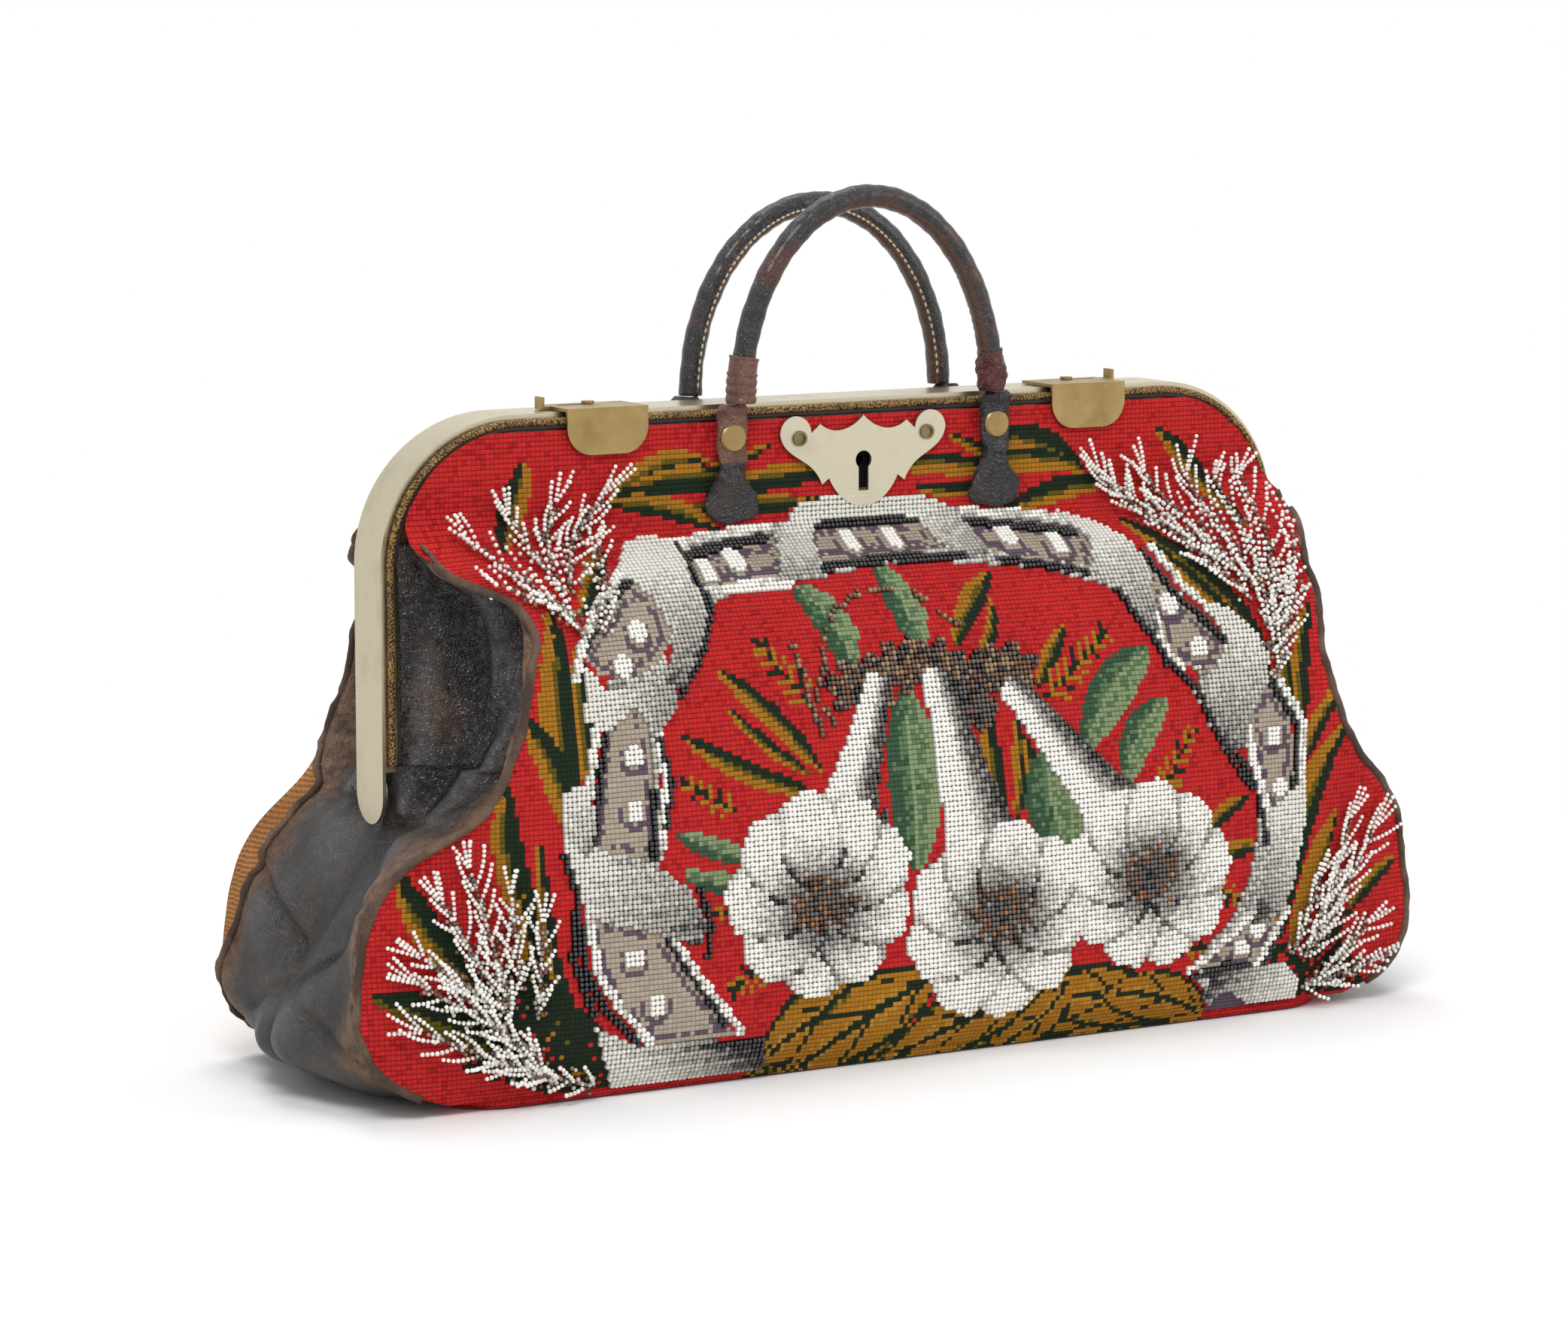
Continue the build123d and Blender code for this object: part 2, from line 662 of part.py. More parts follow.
# Handle studs: brass heads outside the chapes, peened over behind each flange
stud_front = tab_back + chape_thickness
for name, face, flange_back in (("front_studs", -1, half_depth - flange_thickness),
                                ("rear_studs", 1, rear_face - flange_thickness)):
    with BuildPart() as studs:
        with BuildSketch(Plane.XZ.offset(-face * flange_back)):
            stud_holes()
        extrude(amount=-face * (stud_front - flange_back))
        with BuildSketch(Plane.XZ.offset(-face * stud_front)):
            with Locations(*[(x, stud_height) for x in stud_xs]):
                Circle(stud_head_radius)
        extrude(amount=-face * stud_head_height)
        rims = studs.edges().filter_by(GeomType.CIRCLE).group_by(Axis.Y)[0 if face < 0 else -1]
        chamfer(rims, stud_chamfer)
        with BuildSketch(Plane.XZ.offset(-face * flange_back)):
            with Locations(*[(x, stud_height) for x in stud_xs]):
                Circle(stud_peen_radius)
        extrude(amount=face * stud_peen_height)
    studs.part.label = name
    export_step(studs.part, f"parts/{name}.step")

# Handles: rolled leather arches that stand on their chapes
handle_foot = frame_height + handle_lift
handle_half = stud_spacing / 2 - handle_narrowing
handle_offset = tab_back + handle_radius


def handle_route(face, start_angle=0.0, turn=180.0):
    with BuildLine(Plane.XZ.offset(-face * handle_offset)) as route:
        EllipticalCenterArc((hardware_x, handle_foot), handle_half, handle_rise,
                            start_angle=start_angle, arc_size=turn)
    return route.line


for name, face in (("front_handle", -1), ("rear_handle", 1)):
    with BuildPart() as handle:
        with BuildSketch(Plane.XY.offset(handle_foot)):
            with Locations((hardware_x + handle_half, face * handle_offset)):
                Circle(handle_radius)
        sweep(path=handle_route(face))
    handle.part.label = name
    export_step(handle.part, f"parts/{name}.step")

# Handle sleeve: a leather repair wrapped round the foot of the front handle
sleeve_turn = math.degrees(math.asin(sleeve_length / handle_rise))
with BuildPart() as handle_sleeve:
    with BuildSketch(Plane.XY.offset(handle_foot)):
        with Locations((hardware_x - handle_half, -handle_offset)):
            Circle(sleeve_radius)
            Circle(handle_radius, mode=Mode.SUBTRACT)
    sweep(path=handle_route(-1, 180.0, -sleeve_turn))
handle_sleeve.part.label = "handle_sleeve"
export_step(handle_sleeve.part, "parts/handle_sleeve.step")

# Catches: brass saddles that slide along the top of the frame, each with a turned-up lip
saddle_bottom = frame_height + soft_gap
saddle_top = saddle_bottom + catch_thickness
tab_height = catch_height + soft_gap
slot_width = 2 * (catch_pin_radius + soft_gap)
for name, side in (("catch_left", -1), ("catch_right", 1)):
    catch_end = side * (catch_x + catch_width / 2)
    with BuildPart() as catch:
        with BuildSketch(Plane.XZ.offset(tab_back)) as tab:
            with Locations((side * catch_x, saddle_bottom - tab_height / 2)):
                Rectangle(catch_width, tab_height)
            fillet(tab.vertices().group_by(Axis.Y)[0], catch_corner_radius)
        extrude(amount=catch_thickness)
        with BuildSketch(Plane.XY.offset(saddle_bottom)):
            with Locations((side * catch_x, (catch_reach - tab_back - catch_thickness) / 2)):
                Rectangle(catch_width, catch_reach + tab_back + catch_thickness)
            with Locations((side * (catch_x + catch_travel / 2), 0)):
                SlotCenterToCenter(catch_travel, slot_width, mode=Mode.SUBTRACT)
        extrude(amount=catch_thickness)
        with BuildSketch(Plane.XZ.offset(-catch_lip_width / 2)) as lip:
            with Locations((catch_end + side * catch_lip_reach / 2, saddle_bottom + catch_thickness / 2)):
                Rectangle(catch_lip_reach, catch_thickness)
            with Locations((catch_end + side * (catch_lip_reach - catch_thickness / 2),
                            saddle_bottom + catch_lip_height / 2)):
                Rectangle(catch_thickness, catch_lip_height)
        extrude(amount=catch_lip_width)
    catch.part.label = name
    export_step(catch.part, f"parts/{name}.step")

# Catch pins: headed pins in the frame that each catch slides on
with BuildPart() as catch_pins:
    with BuildSketch(Plane.XY.offset(frame_height - strip_thickness)):
        with Locations((-catch_x, 0), (catch_x, 0)):
            Circle(catch_pin_radius)
    extrude(amount=saddle_top + soft_gap - frame_height + strip_thickness)
    with BuildSketch(Plane.XY.offset(saddle_top + soft_gap)):
        with Locations((-catch_x, 0), (catch_x, 0)):
            Circle(catch_head_radius)
    extrude(amount=catch_head_height)
catch_pins.part.label = "catch_pins"
export_step(catch_pins.part, "parts/catch_pins.step")
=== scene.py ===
# %% [markdown]
# # An embroidered travel bag
# The bag is a soft body of stitched canvas and leather that hangs in a hinged metal mouth frame.
# The metal, the lock and the handles' fittings come ready-made in the frame file, at their real
# size. This lesson dresses them: it stitches the canvas, sews on the beads, folds the leather,
# lays the cord and finishes every surface. All lengths are in metres.

# %% Load the frame
import json
import math
import bpy
import numpy as np
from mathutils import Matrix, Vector
from mathutils.bvhtree import BVHTree


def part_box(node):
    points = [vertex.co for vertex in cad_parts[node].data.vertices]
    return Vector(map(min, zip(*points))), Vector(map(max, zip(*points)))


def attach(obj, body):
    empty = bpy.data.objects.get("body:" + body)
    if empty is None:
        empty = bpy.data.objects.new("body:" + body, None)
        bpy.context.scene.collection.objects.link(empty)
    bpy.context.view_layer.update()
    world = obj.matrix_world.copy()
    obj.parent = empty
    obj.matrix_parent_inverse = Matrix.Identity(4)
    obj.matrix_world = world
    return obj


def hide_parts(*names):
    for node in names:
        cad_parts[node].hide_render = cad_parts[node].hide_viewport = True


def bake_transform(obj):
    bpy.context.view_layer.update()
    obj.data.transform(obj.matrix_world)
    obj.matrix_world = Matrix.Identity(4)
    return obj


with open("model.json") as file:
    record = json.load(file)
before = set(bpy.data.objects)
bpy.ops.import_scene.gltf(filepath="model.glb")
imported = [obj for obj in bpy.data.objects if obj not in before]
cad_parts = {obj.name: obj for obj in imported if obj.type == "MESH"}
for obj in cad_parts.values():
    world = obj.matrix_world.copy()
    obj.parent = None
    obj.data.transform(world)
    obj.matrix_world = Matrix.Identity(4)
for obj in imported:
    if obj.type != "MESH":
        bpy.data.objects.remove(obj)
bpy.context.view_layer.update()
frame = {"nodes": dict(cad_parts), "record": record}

MM = 0.001
nodes = frame["nodes"]

# %% [markdown]
# ## Camera, floor and light
# The camera looks from the left front and a little above, through a long lens, so that the far
# end of the bag is hardly smaller than the near one. A large pale floor and three soft area lamps
# give plain studio light, and a pale world fills the shadows.

# %% Camera
azimuth = math.radians(-29.85)
elevation = math.radians(8.15)
camera_distance = 2.029
target = Vector((-0.0232, 0.0, 0.1531))
back = Vector((math.sin(azimuth) * math.cos(elevation),
               -math.cos(azimuth) * math.cos(elevation), math.sin(elevation)))
camera_data = bpy.data.cameras.new("camera")
camera_data.lens = 114.0
camera = bpy.data.objects.new("camera", camera_data)
camera.location = target + camera_distance * back
camera.rotation_euler = back.to_track_quat("Z", "Y").to_euler()
bpy.context.scene.collection.objects.link(camera)
bpy.context.scene.camera = camera
bpy.context.scene.view_settings.view_transform = "Standard"
print("camera at", [round(v, 3) for v in camera.location])


# %% Small helpers
def linear(red, green, blue):
    """A colour as seen on screen (0 to 255), as Blender's linear values."""
    def channel(value):
        share = value / 255
        return share / 12.92 if share <= 0.04045 else ((share + 0.055) / 1.055) ** 2.4
    return (channel(red), channel(green), channel(blue), 1.0)


def deselect():
    if bpy.context.object and bpy.context.object.mode != "OBJECT":
        bpy.ops.object.mode_set(mode="OBJECT")
    bpy.ops.object.select_all(action="DESELECT")


def make_active(obj):
    deselect()
    obj.select_set(True)
    bpy.context.view_layer.objects.active = obj


def apply_modifiers(obj):
    make_active(obj)
    for modifier in list(obj.modifiers):
        bpy.ops.object.modifier_apply(modifier=modifier.name)


def settle(obj):
    """Moves the object's place and turn into its mesh, so that the object sits at the origin."""
    make_active(obj)
    bpy.ops.object.transform_apply(location=True, rotation=True, scale=True)


def edit(obj, *steps):
    """Selects the whole mesh in edit mode and runs the given operators."""
    make_active(obj)
    bpy.ops.object.mode_set(mode="EDIT")
    bpy.ops.mesh.select_all(action="SELECT")
    for step in steps:
        step()
    bpy.ops.object.mode_set(mode="OBJECT")


def outward():
    bpy.ops.mesh.normals_make_consistent(inside=False)


def smooth():
    bpy.ops.mesh.faces_shade_smooth()


# %% Mesh helpers
def name_piece(obj, name, body, material):
    """Gives a piece its name and finish, and a body if one is given."""
    obj.name = obj.data.name = name
    obj.data.materials.clear()
    obj.data.materials.append(material)
    if body:
        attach(obj, body)
    return obj


def face_along(obj, way):
    """Turns an open sheet over if most of it faces away from the given direction."""
    if sum(Vector(way).dot(p.normal) * p.area for p in obj.data.polygons) < 0:
        edit(obj, lambda: bpy.ops.mesh.flip_normals())


def points_of(obj):
    values = np.empty(len(obj.data.vertices) * 3)
    obj.data.vertices.foreach_get("co", values)
    return values.reshape(-1, 3)


def put_points(obj, points):
    obj.data.vertices.foreach_set("co", np.asarray(points, float).ravel())
    obj.data.update()


def unit(vectors):
    """The same directions, row by row, with a length of one."""
    return vectors / np.maximum(np.linalg.norm(vectors, axis=1, keepdims=True), 1e-9)


def grid_of(places):
    """A grid of squares with its points at the given places, row by row."""
    rows, columns = places.shape[0] - 1, places.shape[1] - 1
    bpy.ops.mesh.primitive_grid_add(x_subdivisions=columns, y_subdivisions=rows, size=2)
    grid = bpy.context.object
    put_points(grid, places.reshape(-1, 3))
    return grid


def surface(node):
    """A tree of a CAD node's faces, to find points on its surface."""
    data = nodes[node].data
    return BVHTree.FromPolygons([v.co for v in data.vertices], [p.vertices for p in data.polygons])


def dimmed(colour, share):
    """A share of a colour's light."""
    return [share * c for c in colour[:3]] + [1.0]


# %% Floor and backdrop
def plain_material(name, colour, roughness):
    material = bpy.data.materials.new(name)
    material.use_nodes = True
    shader = material.node_tree.nodes["Principled BSDF"]
    shader.inputs["Base Color"].default_value = colour
    shader.inputs["Roughness"].default_value = roughness
    return material


floor_size, floor_drop = 60.0, 0.0004
bpy.ops.mesh.primitive_plane_add(size=floor_size, location=(0, 0, -floor_drop))
floor = bpy.context.object
floor.name = "floor"
floor_material = plain_material("pale_floor", linear(250, 250, 250), 0.9)
floor.data.materials.append(floor_material)
settle(floor)
print("floor laid")


# %% Lamps and world
def area_lamp(name, place, aim, size, watts):
    data = bpy.data.lights.new(name, "AREA")
    data.shape = "DISK"
    data.size = size
    data.energy = watts
    lamp = bpy.data.objects.new(name, data)
    lamp.location = place
    lamp.rotation_euler = (Vector(place) - Vector(aim)).to_track_quat("Z", "Y").to_euler()
    bpy.context.scene.collection.objects.link(lamp)


area_lamp("key", (-1.1, -1.5, 2.3), (0, 0, 0.12), 1.2, 34)
area_lamp("fill", (1.9, -1.7, 1.1), (0, 0, 0.12), 1.6, 17)
area_lamp("top", (0.1, 0.7, 2.2), (0, 0, 0.2), 1.4, 16)
unseen_strength = 0.55  # of the world where only shadows see it
world = bpy.data.worlds.new("studio")
bpy.context.scene.world = world
world.use_nodes = True
background = world.node_tree.nodes["Background"]
background.inputs["Color"].default_value = (1.0, 1.0, 1.0, 1.0)
light_path = world.node_tree.nodes.new("ShaderNodeLightPath")
seen = light_path.outputs["Is Camera Ray"]
for ray in ("Is Glossy Ray", "Is Transmission Ray"):
    either = world.node_tree.nodes.new("ShaderNodeMath")
    either.operation = "MAXIMUM"
    world.node_tree.links.new(seen, either.inputs[0])
    world.node_tree.links.new(light_path.outputs[ray], either.inputs[1])
    seen = either.outputs[0]
strength = world.node_tree.nodes.new("ShaderNodeMapRange")
strength.inputs["To Min"].default_value = unseen_strength
strength.inputs["To Max"].default_value = 1.0
world.node_tree.links.new(seen, strength.inputs["Value"])
world.node_tree.links.new(strength.outputs[0], background.inputs["Strength"])

# %% [markdown]
# ## Shared effects
# Leather, cloth and metal all need fine relief and worn places, so those effects are node groups
# that every material can use with its own values. Each group gives out a mask or a height only;
# the shader stays in the material.


# %% Node helpers
class Tree:
    """A thin wrapper that makes and joins shader nodes in one line each."""

    def __init__(self, tree):
        self.tree = tree

    def feed(self, socket, value):
        """Joins a socket to what another gives out, or sets it to a constant."""
        if isinstance(value, bpy.types.NodeSocket):
            self.tree.links.new(value, socket)
        else:
            socket.default_value = value

    def add(self, kind, inputs=None, **settings):
        node = self.tree.nodes.new(kind)
        for key, value in settings.items():
            setattr(node, key, value)
        for key, value in (inputs or {}).items():
            self.feed(node.inputs[key], value)
        return node

    def math(self, operation, a, b=0.0, clamp=False, third=0.5):
        return self.add("ShaderNodeMath", {0: a, 1: b, 2: third}, operation=operation,
                        use_clamp=clamp).outputs[0]

    def span(self, value, low, high, to_low=0.0, to_high=1.0):
        node = self.add("ShaderNodeMapRange", {"Value": value, "From Min": low, "From Max": high,
                                               "To Min": to_low, "To Max": to_high})
        return node.outputs[0]

    def mix(self, factor, a, b, blend="MIX"):
        node = self.add("ShaderNodeMix", data_type="RGBA", blend_type=blend)
        for key, value in ((0, factor), (6, a), (7, b)):
            self.feed(node.inputs[key], value)
        return node.outputs[2]

    def noise(self, vector, scale, detail=3.0, roughness=0.5):
        node = self.add("ShaderNodeTexNoise", {"Vector": vector, "Scale": scale, "Detail": detail,
                                               "Roughness": roughness})
        return node.outputs["Fac"]

    def place(self, vector, scale):
        return self.add("ShaderNodeMapping", {"Vector": vector, "Scale": scale}).outputs[0]


def new_group(name, inputs, outputs):
    """A node group with the given sockets, and a wrapper for what goes inside it."""
    group = bpy.data.node_groups.new(name, "ShaderNodeTree")
    for socket, kind, value in inputs:
        made = group.interface.new_socket(socket, in_out="INPUT", socket_type="NodeSocket" + kind)
        if value is not None:
            made.default_value = value
    for socket, kind in outputs:
        group.interface.new_socket(socket, in_out="OUTPUT", socket_type="NodeSocket" + kind)
    tree = Tree(group)
    return group, tree, tree.add("NodeGroupInput").outputs, tree.add("NodeGroupOutput").inputs


# %% Leather grain
grain_group, tree, entry, exit_ = new_group(
    "leather_grain", [("Vector", "Vector", None), ("Scale", "Float", 600.0), ("Crease", "Float", 0.4)],
    [("Height", "Float"), ("Pores", "Float")])
bent = tree.add("ShaderNodeTexNoise", {"Vector": entry["Vector"], "Scale": 90.0, "Detail": 2.0})
warped = tree.mix(0.012, entry["Vector"], bent.outputs["Color"], "ADD")
cells = tree.add("ShaderNodeTexVoronoi", {"Vector": warped, "Scale": entry["Scale"]},
                 feature="DISTANCE_TO_EDGE")
pebble = tree.span(cells.outputs["Distance"], 0.0, 0.28)
creases = tree.noise(tree.place(entry["Vector"], (1.0, 1.0, 0.35)), 45.0, 6.0, 0.65)
creases = tree.span(creases, 0.42, 0.62)
height = tree.math("ADD", tree.math("MULTIPLY", pebble, 0.5),
                   tree.math("MULTIPLY", creases, entry["Crease"]))
tree.feed(exit_["Height"], height)
tree.feed(exit_["Pores"], tree.math("SUBTRACT", 1.0, pebble))
print("group", grain_group.name)

# %% Worn places
wear_group, tree, entry, exit_ = new_group(
    "worn_places", [("Vector", "Vector", None), ("Scale", "Float", 30.0), ("Amount", "Float", 0.5),
                    ("Sharpness", "Float", 6.0)], [("Mask", "Float")])
broad = tree.noise(entry["Vector"], entry["Scale"], 8.0, 0.62)
edge = tree.math("SUBTRACT", broad, tree.math("SUBTRACT", 1.0, entry["Amount"]))
mask = tree.math("ADD", tree.math("MULTIPLY", edge, entry["Sharpness"]), 0.5, clamp=True)
tree.feed(exit_["Mask"], mask)
print("group", wear_group.name)

# %% Stitch relief
stitch_group, tree, entry, exit_ = new_group(
    "stitch_relief", [("UV", "Vector", None), ("Fibre", "Float", 0.35)],
    [("Height", "Float"), ("Gap", "Float")])
split = tree.add("ShaderNodeSeparateXYZ", {"Vector": entry["UV"]})
across = tree.math("ABSOLUTE", tree.math("SUBTRACT", tree.math("FRACT", split.outputs[0]), 0.5))
along = tree.math("ABSOLUTE", tree.math("SUBTRACT", tree.math("FRACT", split.outputs[1]), 0.5))
border = tree.math("MAXIMUM", tree.math("MULTIPLY", across, 0.9), along)
gap = tree.span(border, 0.34, 0.5)
fibre = tree.add("ShaderNodeTexWave", {"Vector": entry["UV"], "Scale": 1.9, "Distortion": 1.2,
                                       "Detail": 2.0, "Detail Scale": 3.0},
                 wave_type="BANDS", bands_direction="DIAGONAL")
pillow = tree.math("SUBTRACT", 1.0, tree.math("POWER", tree.math("MULTIPLY", border, 2.0), 3.0))
height = tree.math("ADD", pillow, tree.math("MULTIPLY", fibre.outputs["Fac"], entry["Fibre"]))
tree.feed(exit_["Height"], height)
tree.feed(exit_["Gap"], gap)
print("group", stitch_group.name)

# %% Fading floor
floor_tree = Tree(floor_material.node_tree)
floor_shader = floor_material.node_tree.nodes["Principled BSDF"]
floor_place = floor_tree.add("ShaderNodeTexCoord").outputs["Object"]
floor_distance = floor_tree.add("ShaderNodeVectorMath", {0: floor_place},
                                operation="LENGTH").outputs["Value"]
fade_start, fade_end = 0.34, 0.8
away = floor_tree.add("ShaderNodeMapRange", {"Value": floor_distance, "From Min": fade_start,
                                             "From Max": fade_end},
                      interpolation_type="SMOOTHSTEP").outputs[0]
no_light, full_light = (0.0, 0.0, 0.0, 1.0), (1.0, 1.0, 1.0, 1.0)
near_colour = floor_tree.mix(away, linear(250, 250, 250), no_light)
glow = floor_tree.mix(away, no_light, full_light)
floor_tree.feed(floor_shader.inputs["Base Color"], near_colour)
floor_tree.feed(floor_shader.inputs["Emission Color"], glow)
floor_shader.inputs["Emission Strength"].default_value = 1.0
floor_shader.inputs["Specular IOR Level"].default_value = 0.0
print("floor fades to white")


# %% [markdown]
# ## Finishes
# Each finish starts from the same shader and joins the shared effects to its colour, roughness
# and relief.


# %% A blank finish
def blank(name, roughness=0.5):
    """A new material, with a wrapper for its nodes, its shader and the places on the object."""
    material = bpy.data.materials.new(name)
    material.use_nodes = True
    tree = Tree(material.node_tree)
    shader = material.node_tree.nodes["Principled BSDF"]
    shader.inputs["Roughness"].default_value = roughness
    where = tree.add("ShaderNodeTexCoord").outputs["Object"]
    return material, tree, shader, where


def relief(tree, shader, height, distance, strength=1.0):
    """Bumps a finish by a height; distance is the depth of its full range, in metres."""
    bump = tree.add("ShaderNodeBump", {"Height": height, "Distance": distance, "Strength": strength})
    tree.feed(shader.inputs["Normal"], bump.outputs[0])


def group_node(tree, group, **values):
    """Puts a shared effect into a material with values of its own."""
    node = tree.tree.nodes.new("ShaderNodeGroup")
    node.node_tree = group
    for key, value in values.items():
        tree.feed(node.inputs[key], value)
    return node.outputs


# %% Wool stitches
wool, tree, shader, where = blank("wool_stitches", 0.85)
stitch_uv = tree.add("ShaderNodeUVMap", uv_map="stitches").outputs[0]
stitch = group_node(tree, stitch_group, UV=stitch_uv, Fibre=0.35)
colour = tree.add("ShaderNodeAttribute", attribute_name="stitch_colour").outputs["Color"]
fading = tree.noise(where, 22.0, 4.0)
colour = tree.mix(tree.span(fading, 0.3, 0.7, 0.0, 0.12), colour, linear(120, 20, 24), "MULTIPLY")
fuzz = tree.noise(where, 1500.0, 2.0)
colour = tree.mix(tree.span(fuzz, 0.3, 0.7, 0.0, 0.25), colour, (0.5, 0.5, 0.5, 1.0), "MULTIPLY")
# Painted shade: each stitch's colour is darkened towards its borders, in the gaps between stitches
between = tree.mix(1.0, colour, (0.30, 0.22, 0.22, 1.0), "MULTIPLY")
colour = tree.mix(tree.math("MULTIPLY", stitch["Gap"], 0.85), colour, between)
tree.feed(shader.inputs["Base Color"], colour)
shader.inputs["Specular IOR Level"].default_value = 0.15
relief(tree, shader, stitch["Height"], 0.0009, 0.9)


# %% Glass beads
def bead_finish(name, attribute, roughness):
    """Glassy beads, each in the colour that is kept on its faces."""
    material, tree, shader, where = blank(name, roughness)
    colour = tree.add("ShaderNodeAttribute", attribute_name=attribute).outputs["Color"]
    tint = tree.noise(where, 900.0, 1.0)
    colour = tree.mix(tree.span(tint, 0.35, 0.65, 0.0, 0.16), colour, linear(170, 160, 140), "MULTIPLY")
    tree.feed(shader.inputs["Base Color"], colour)
    shader.inputs["Coat Weight"].default_value = 0.35
    shader.inputs["Coat Roughness"].default_value = 0.12
    return material


beads_finish = bead_finish("glass_beads", "bead_colour", 0.22)


# %% Leathers
def leather(name, base, worn, scale, amount, roughness, depth):
    """Pebbled leather that shows a second colour where it is rubbed.

    scale and depth are the grain's, and amount is how much of it is rubbed.
    """
    material, tree, shader, where = blank(name, roughness)
    grain = group_node(tree, grain_group, Vector=where, Scale=scale, Crease=0.5)
    rubbed = group_node(tree, wear_group, Vector=where, Scale=30.0, Amount=amount, Sharpness=7.0)
    tone = tree.noise(where, 60.0, 5.0)
    colour = tree.mix(tree.span(tone, 0.3, 0.7), base, dimmed(base, 0.55))
    colour = tree.mix(rubbed["Mask"], colour, worn)
    colour = tree.mix(tree.math("MULTIPLY", grain["Pores"], 0.35), colour, dimmed(base, 0.3))
    tree.feed(shader.inputs["Base Color"], colour)
    rough = tree.math("ADD", tree.math("MULTIPLY", rubbed["Mask"], 0.22), roughness)
    rough = tree.math("ADD", rough, tree.math("MULTIPLY", grain["Pores"], 0.12), clamp=True)
    tree.feed(shader.inputs["Roughness"], rough)
    relief(tree, shader, grain["Height"], depth)
    return material


handle_leather = leather("handle_leather", linear(46, 42, 42), linear(96, 56, 42), 900.0, 0.42,
                         0.34, 0.0005)
sleeve_leather = leather("sleeve_leather", linear(126, 84, 68), linear(82, 52, 42), 900.0, 0.46,
                         0.2, 0.0005)
piping_leather = leather("piping_leather", linear(112, 84, 62), linear(64, 44, 34), 700.0, 0.52,
                         0.55, 0.0004)
base_leather = leather("base_leather", linear(40, 34, 32), linear(84, 60, 44), 700.0, 0.4, 0.5, 0.0004)


# %% Metals
def metal(name, base, stain, roughness, stain_amount=0.42):
    """Satin plated metal with fine scratches and a little tarnish."""
    material, tree, shader, where = blank(name, roughness)
    shader.inputs["Metallic"].default_value = 1.0
    tarnish = group_node(tree, wear_group, Vector=where, Scale=55.0, Amount=stain_amount, Sharpness=3.0)
    colour = tree.mix(tree.math("MULTIPLY", tarnish["Mask"], 0.55), base, stain)
    tree.feed(shader.inputs["Base Color"], colour)
    streaks = tree.noise(tree.place(where, (0.06, 1.0, 1.0)), 1800.0, 2.0)
    rough = tree.math("ADD", tree.math("MULTIPLY", streaks, 0.105), roughness)
    rough = tree.math("ADD", rough, tree.math("MULTIPLY", tarnish["Mask"], 0.12), clamp=True)
    tree.feed(shader.inputs["Roughness"], rough)
    relief(tree, shader, streaks, 0.00004, 0.6)
    return material


nickel = metal("satin_nickel", linear(194, 184, 158), linear(160, 150, 126), 0.26, 0.34)
ivory_nickel = metal("ivory_nickel", linear(196, 189, 166), linear(160, 154, 130), 0.32, 0.34)
aged_brass = metal("aged_brass", linear(168, 144, 96), linear(104, 86, 52), 0.30, 0.5)
steel = metal("plain_steel", linear(74, 68, 62), linear(50, 44, 40), 0.5)
dull_brass = metal("dull_brass", linear(140, 126, 92), linear(92, 78, 52), 0.4, 0.5)
print("finishes", len(bpy.data.materials))

# %% [markdown]
# ## The embroidery pattern
# The pattern is worked like a stitcher's chart: every stitch of the canvas asks the pattern what
# colour it is and whether it is wool or a bead. The pattern is a pile of simple shapes, painted
# one over the other in millimetres on the flat canvas, x across and z up: long leaves, a knotted
# ribbon garland, three trumpet flowers and sprays of beads.

# %% Threads and beads
red = linear(230, 50, 50)
deep_red = linear(204, 38, 42)
ochre = linear(200, 138, 40)
pale_ochre = linear(212, 156, 60)
olive = linear(116, 104, 34)
dark_green = linear(38, 52, 36)
pale_sage = linear(160, 182, 134)
sage = linear(112, 146, 104)
deep_sage = linear(72, 106, 78)
taupe = linear(208, 194, 174)
plum = linear(122, 104, 118)
white = linear(248, 246, 240)
pearl = linear(228, 226, 218)
silver = linear(206, 203, 194)
ash = linear(176, 172, 164)
grey = linear(144, 140, 134)
slate = linear(84, 79, 76)
black = linear(26, 24, 26)
umber = linear(104, 72, 52)
smoke = linear(150, 122, 92)
shadow_steps = [pearl, pearl, silver, silver, ash, ash, grey, slate, black]
petal_steps = [white, white, pearl, silver, ash, grey, slate, black]


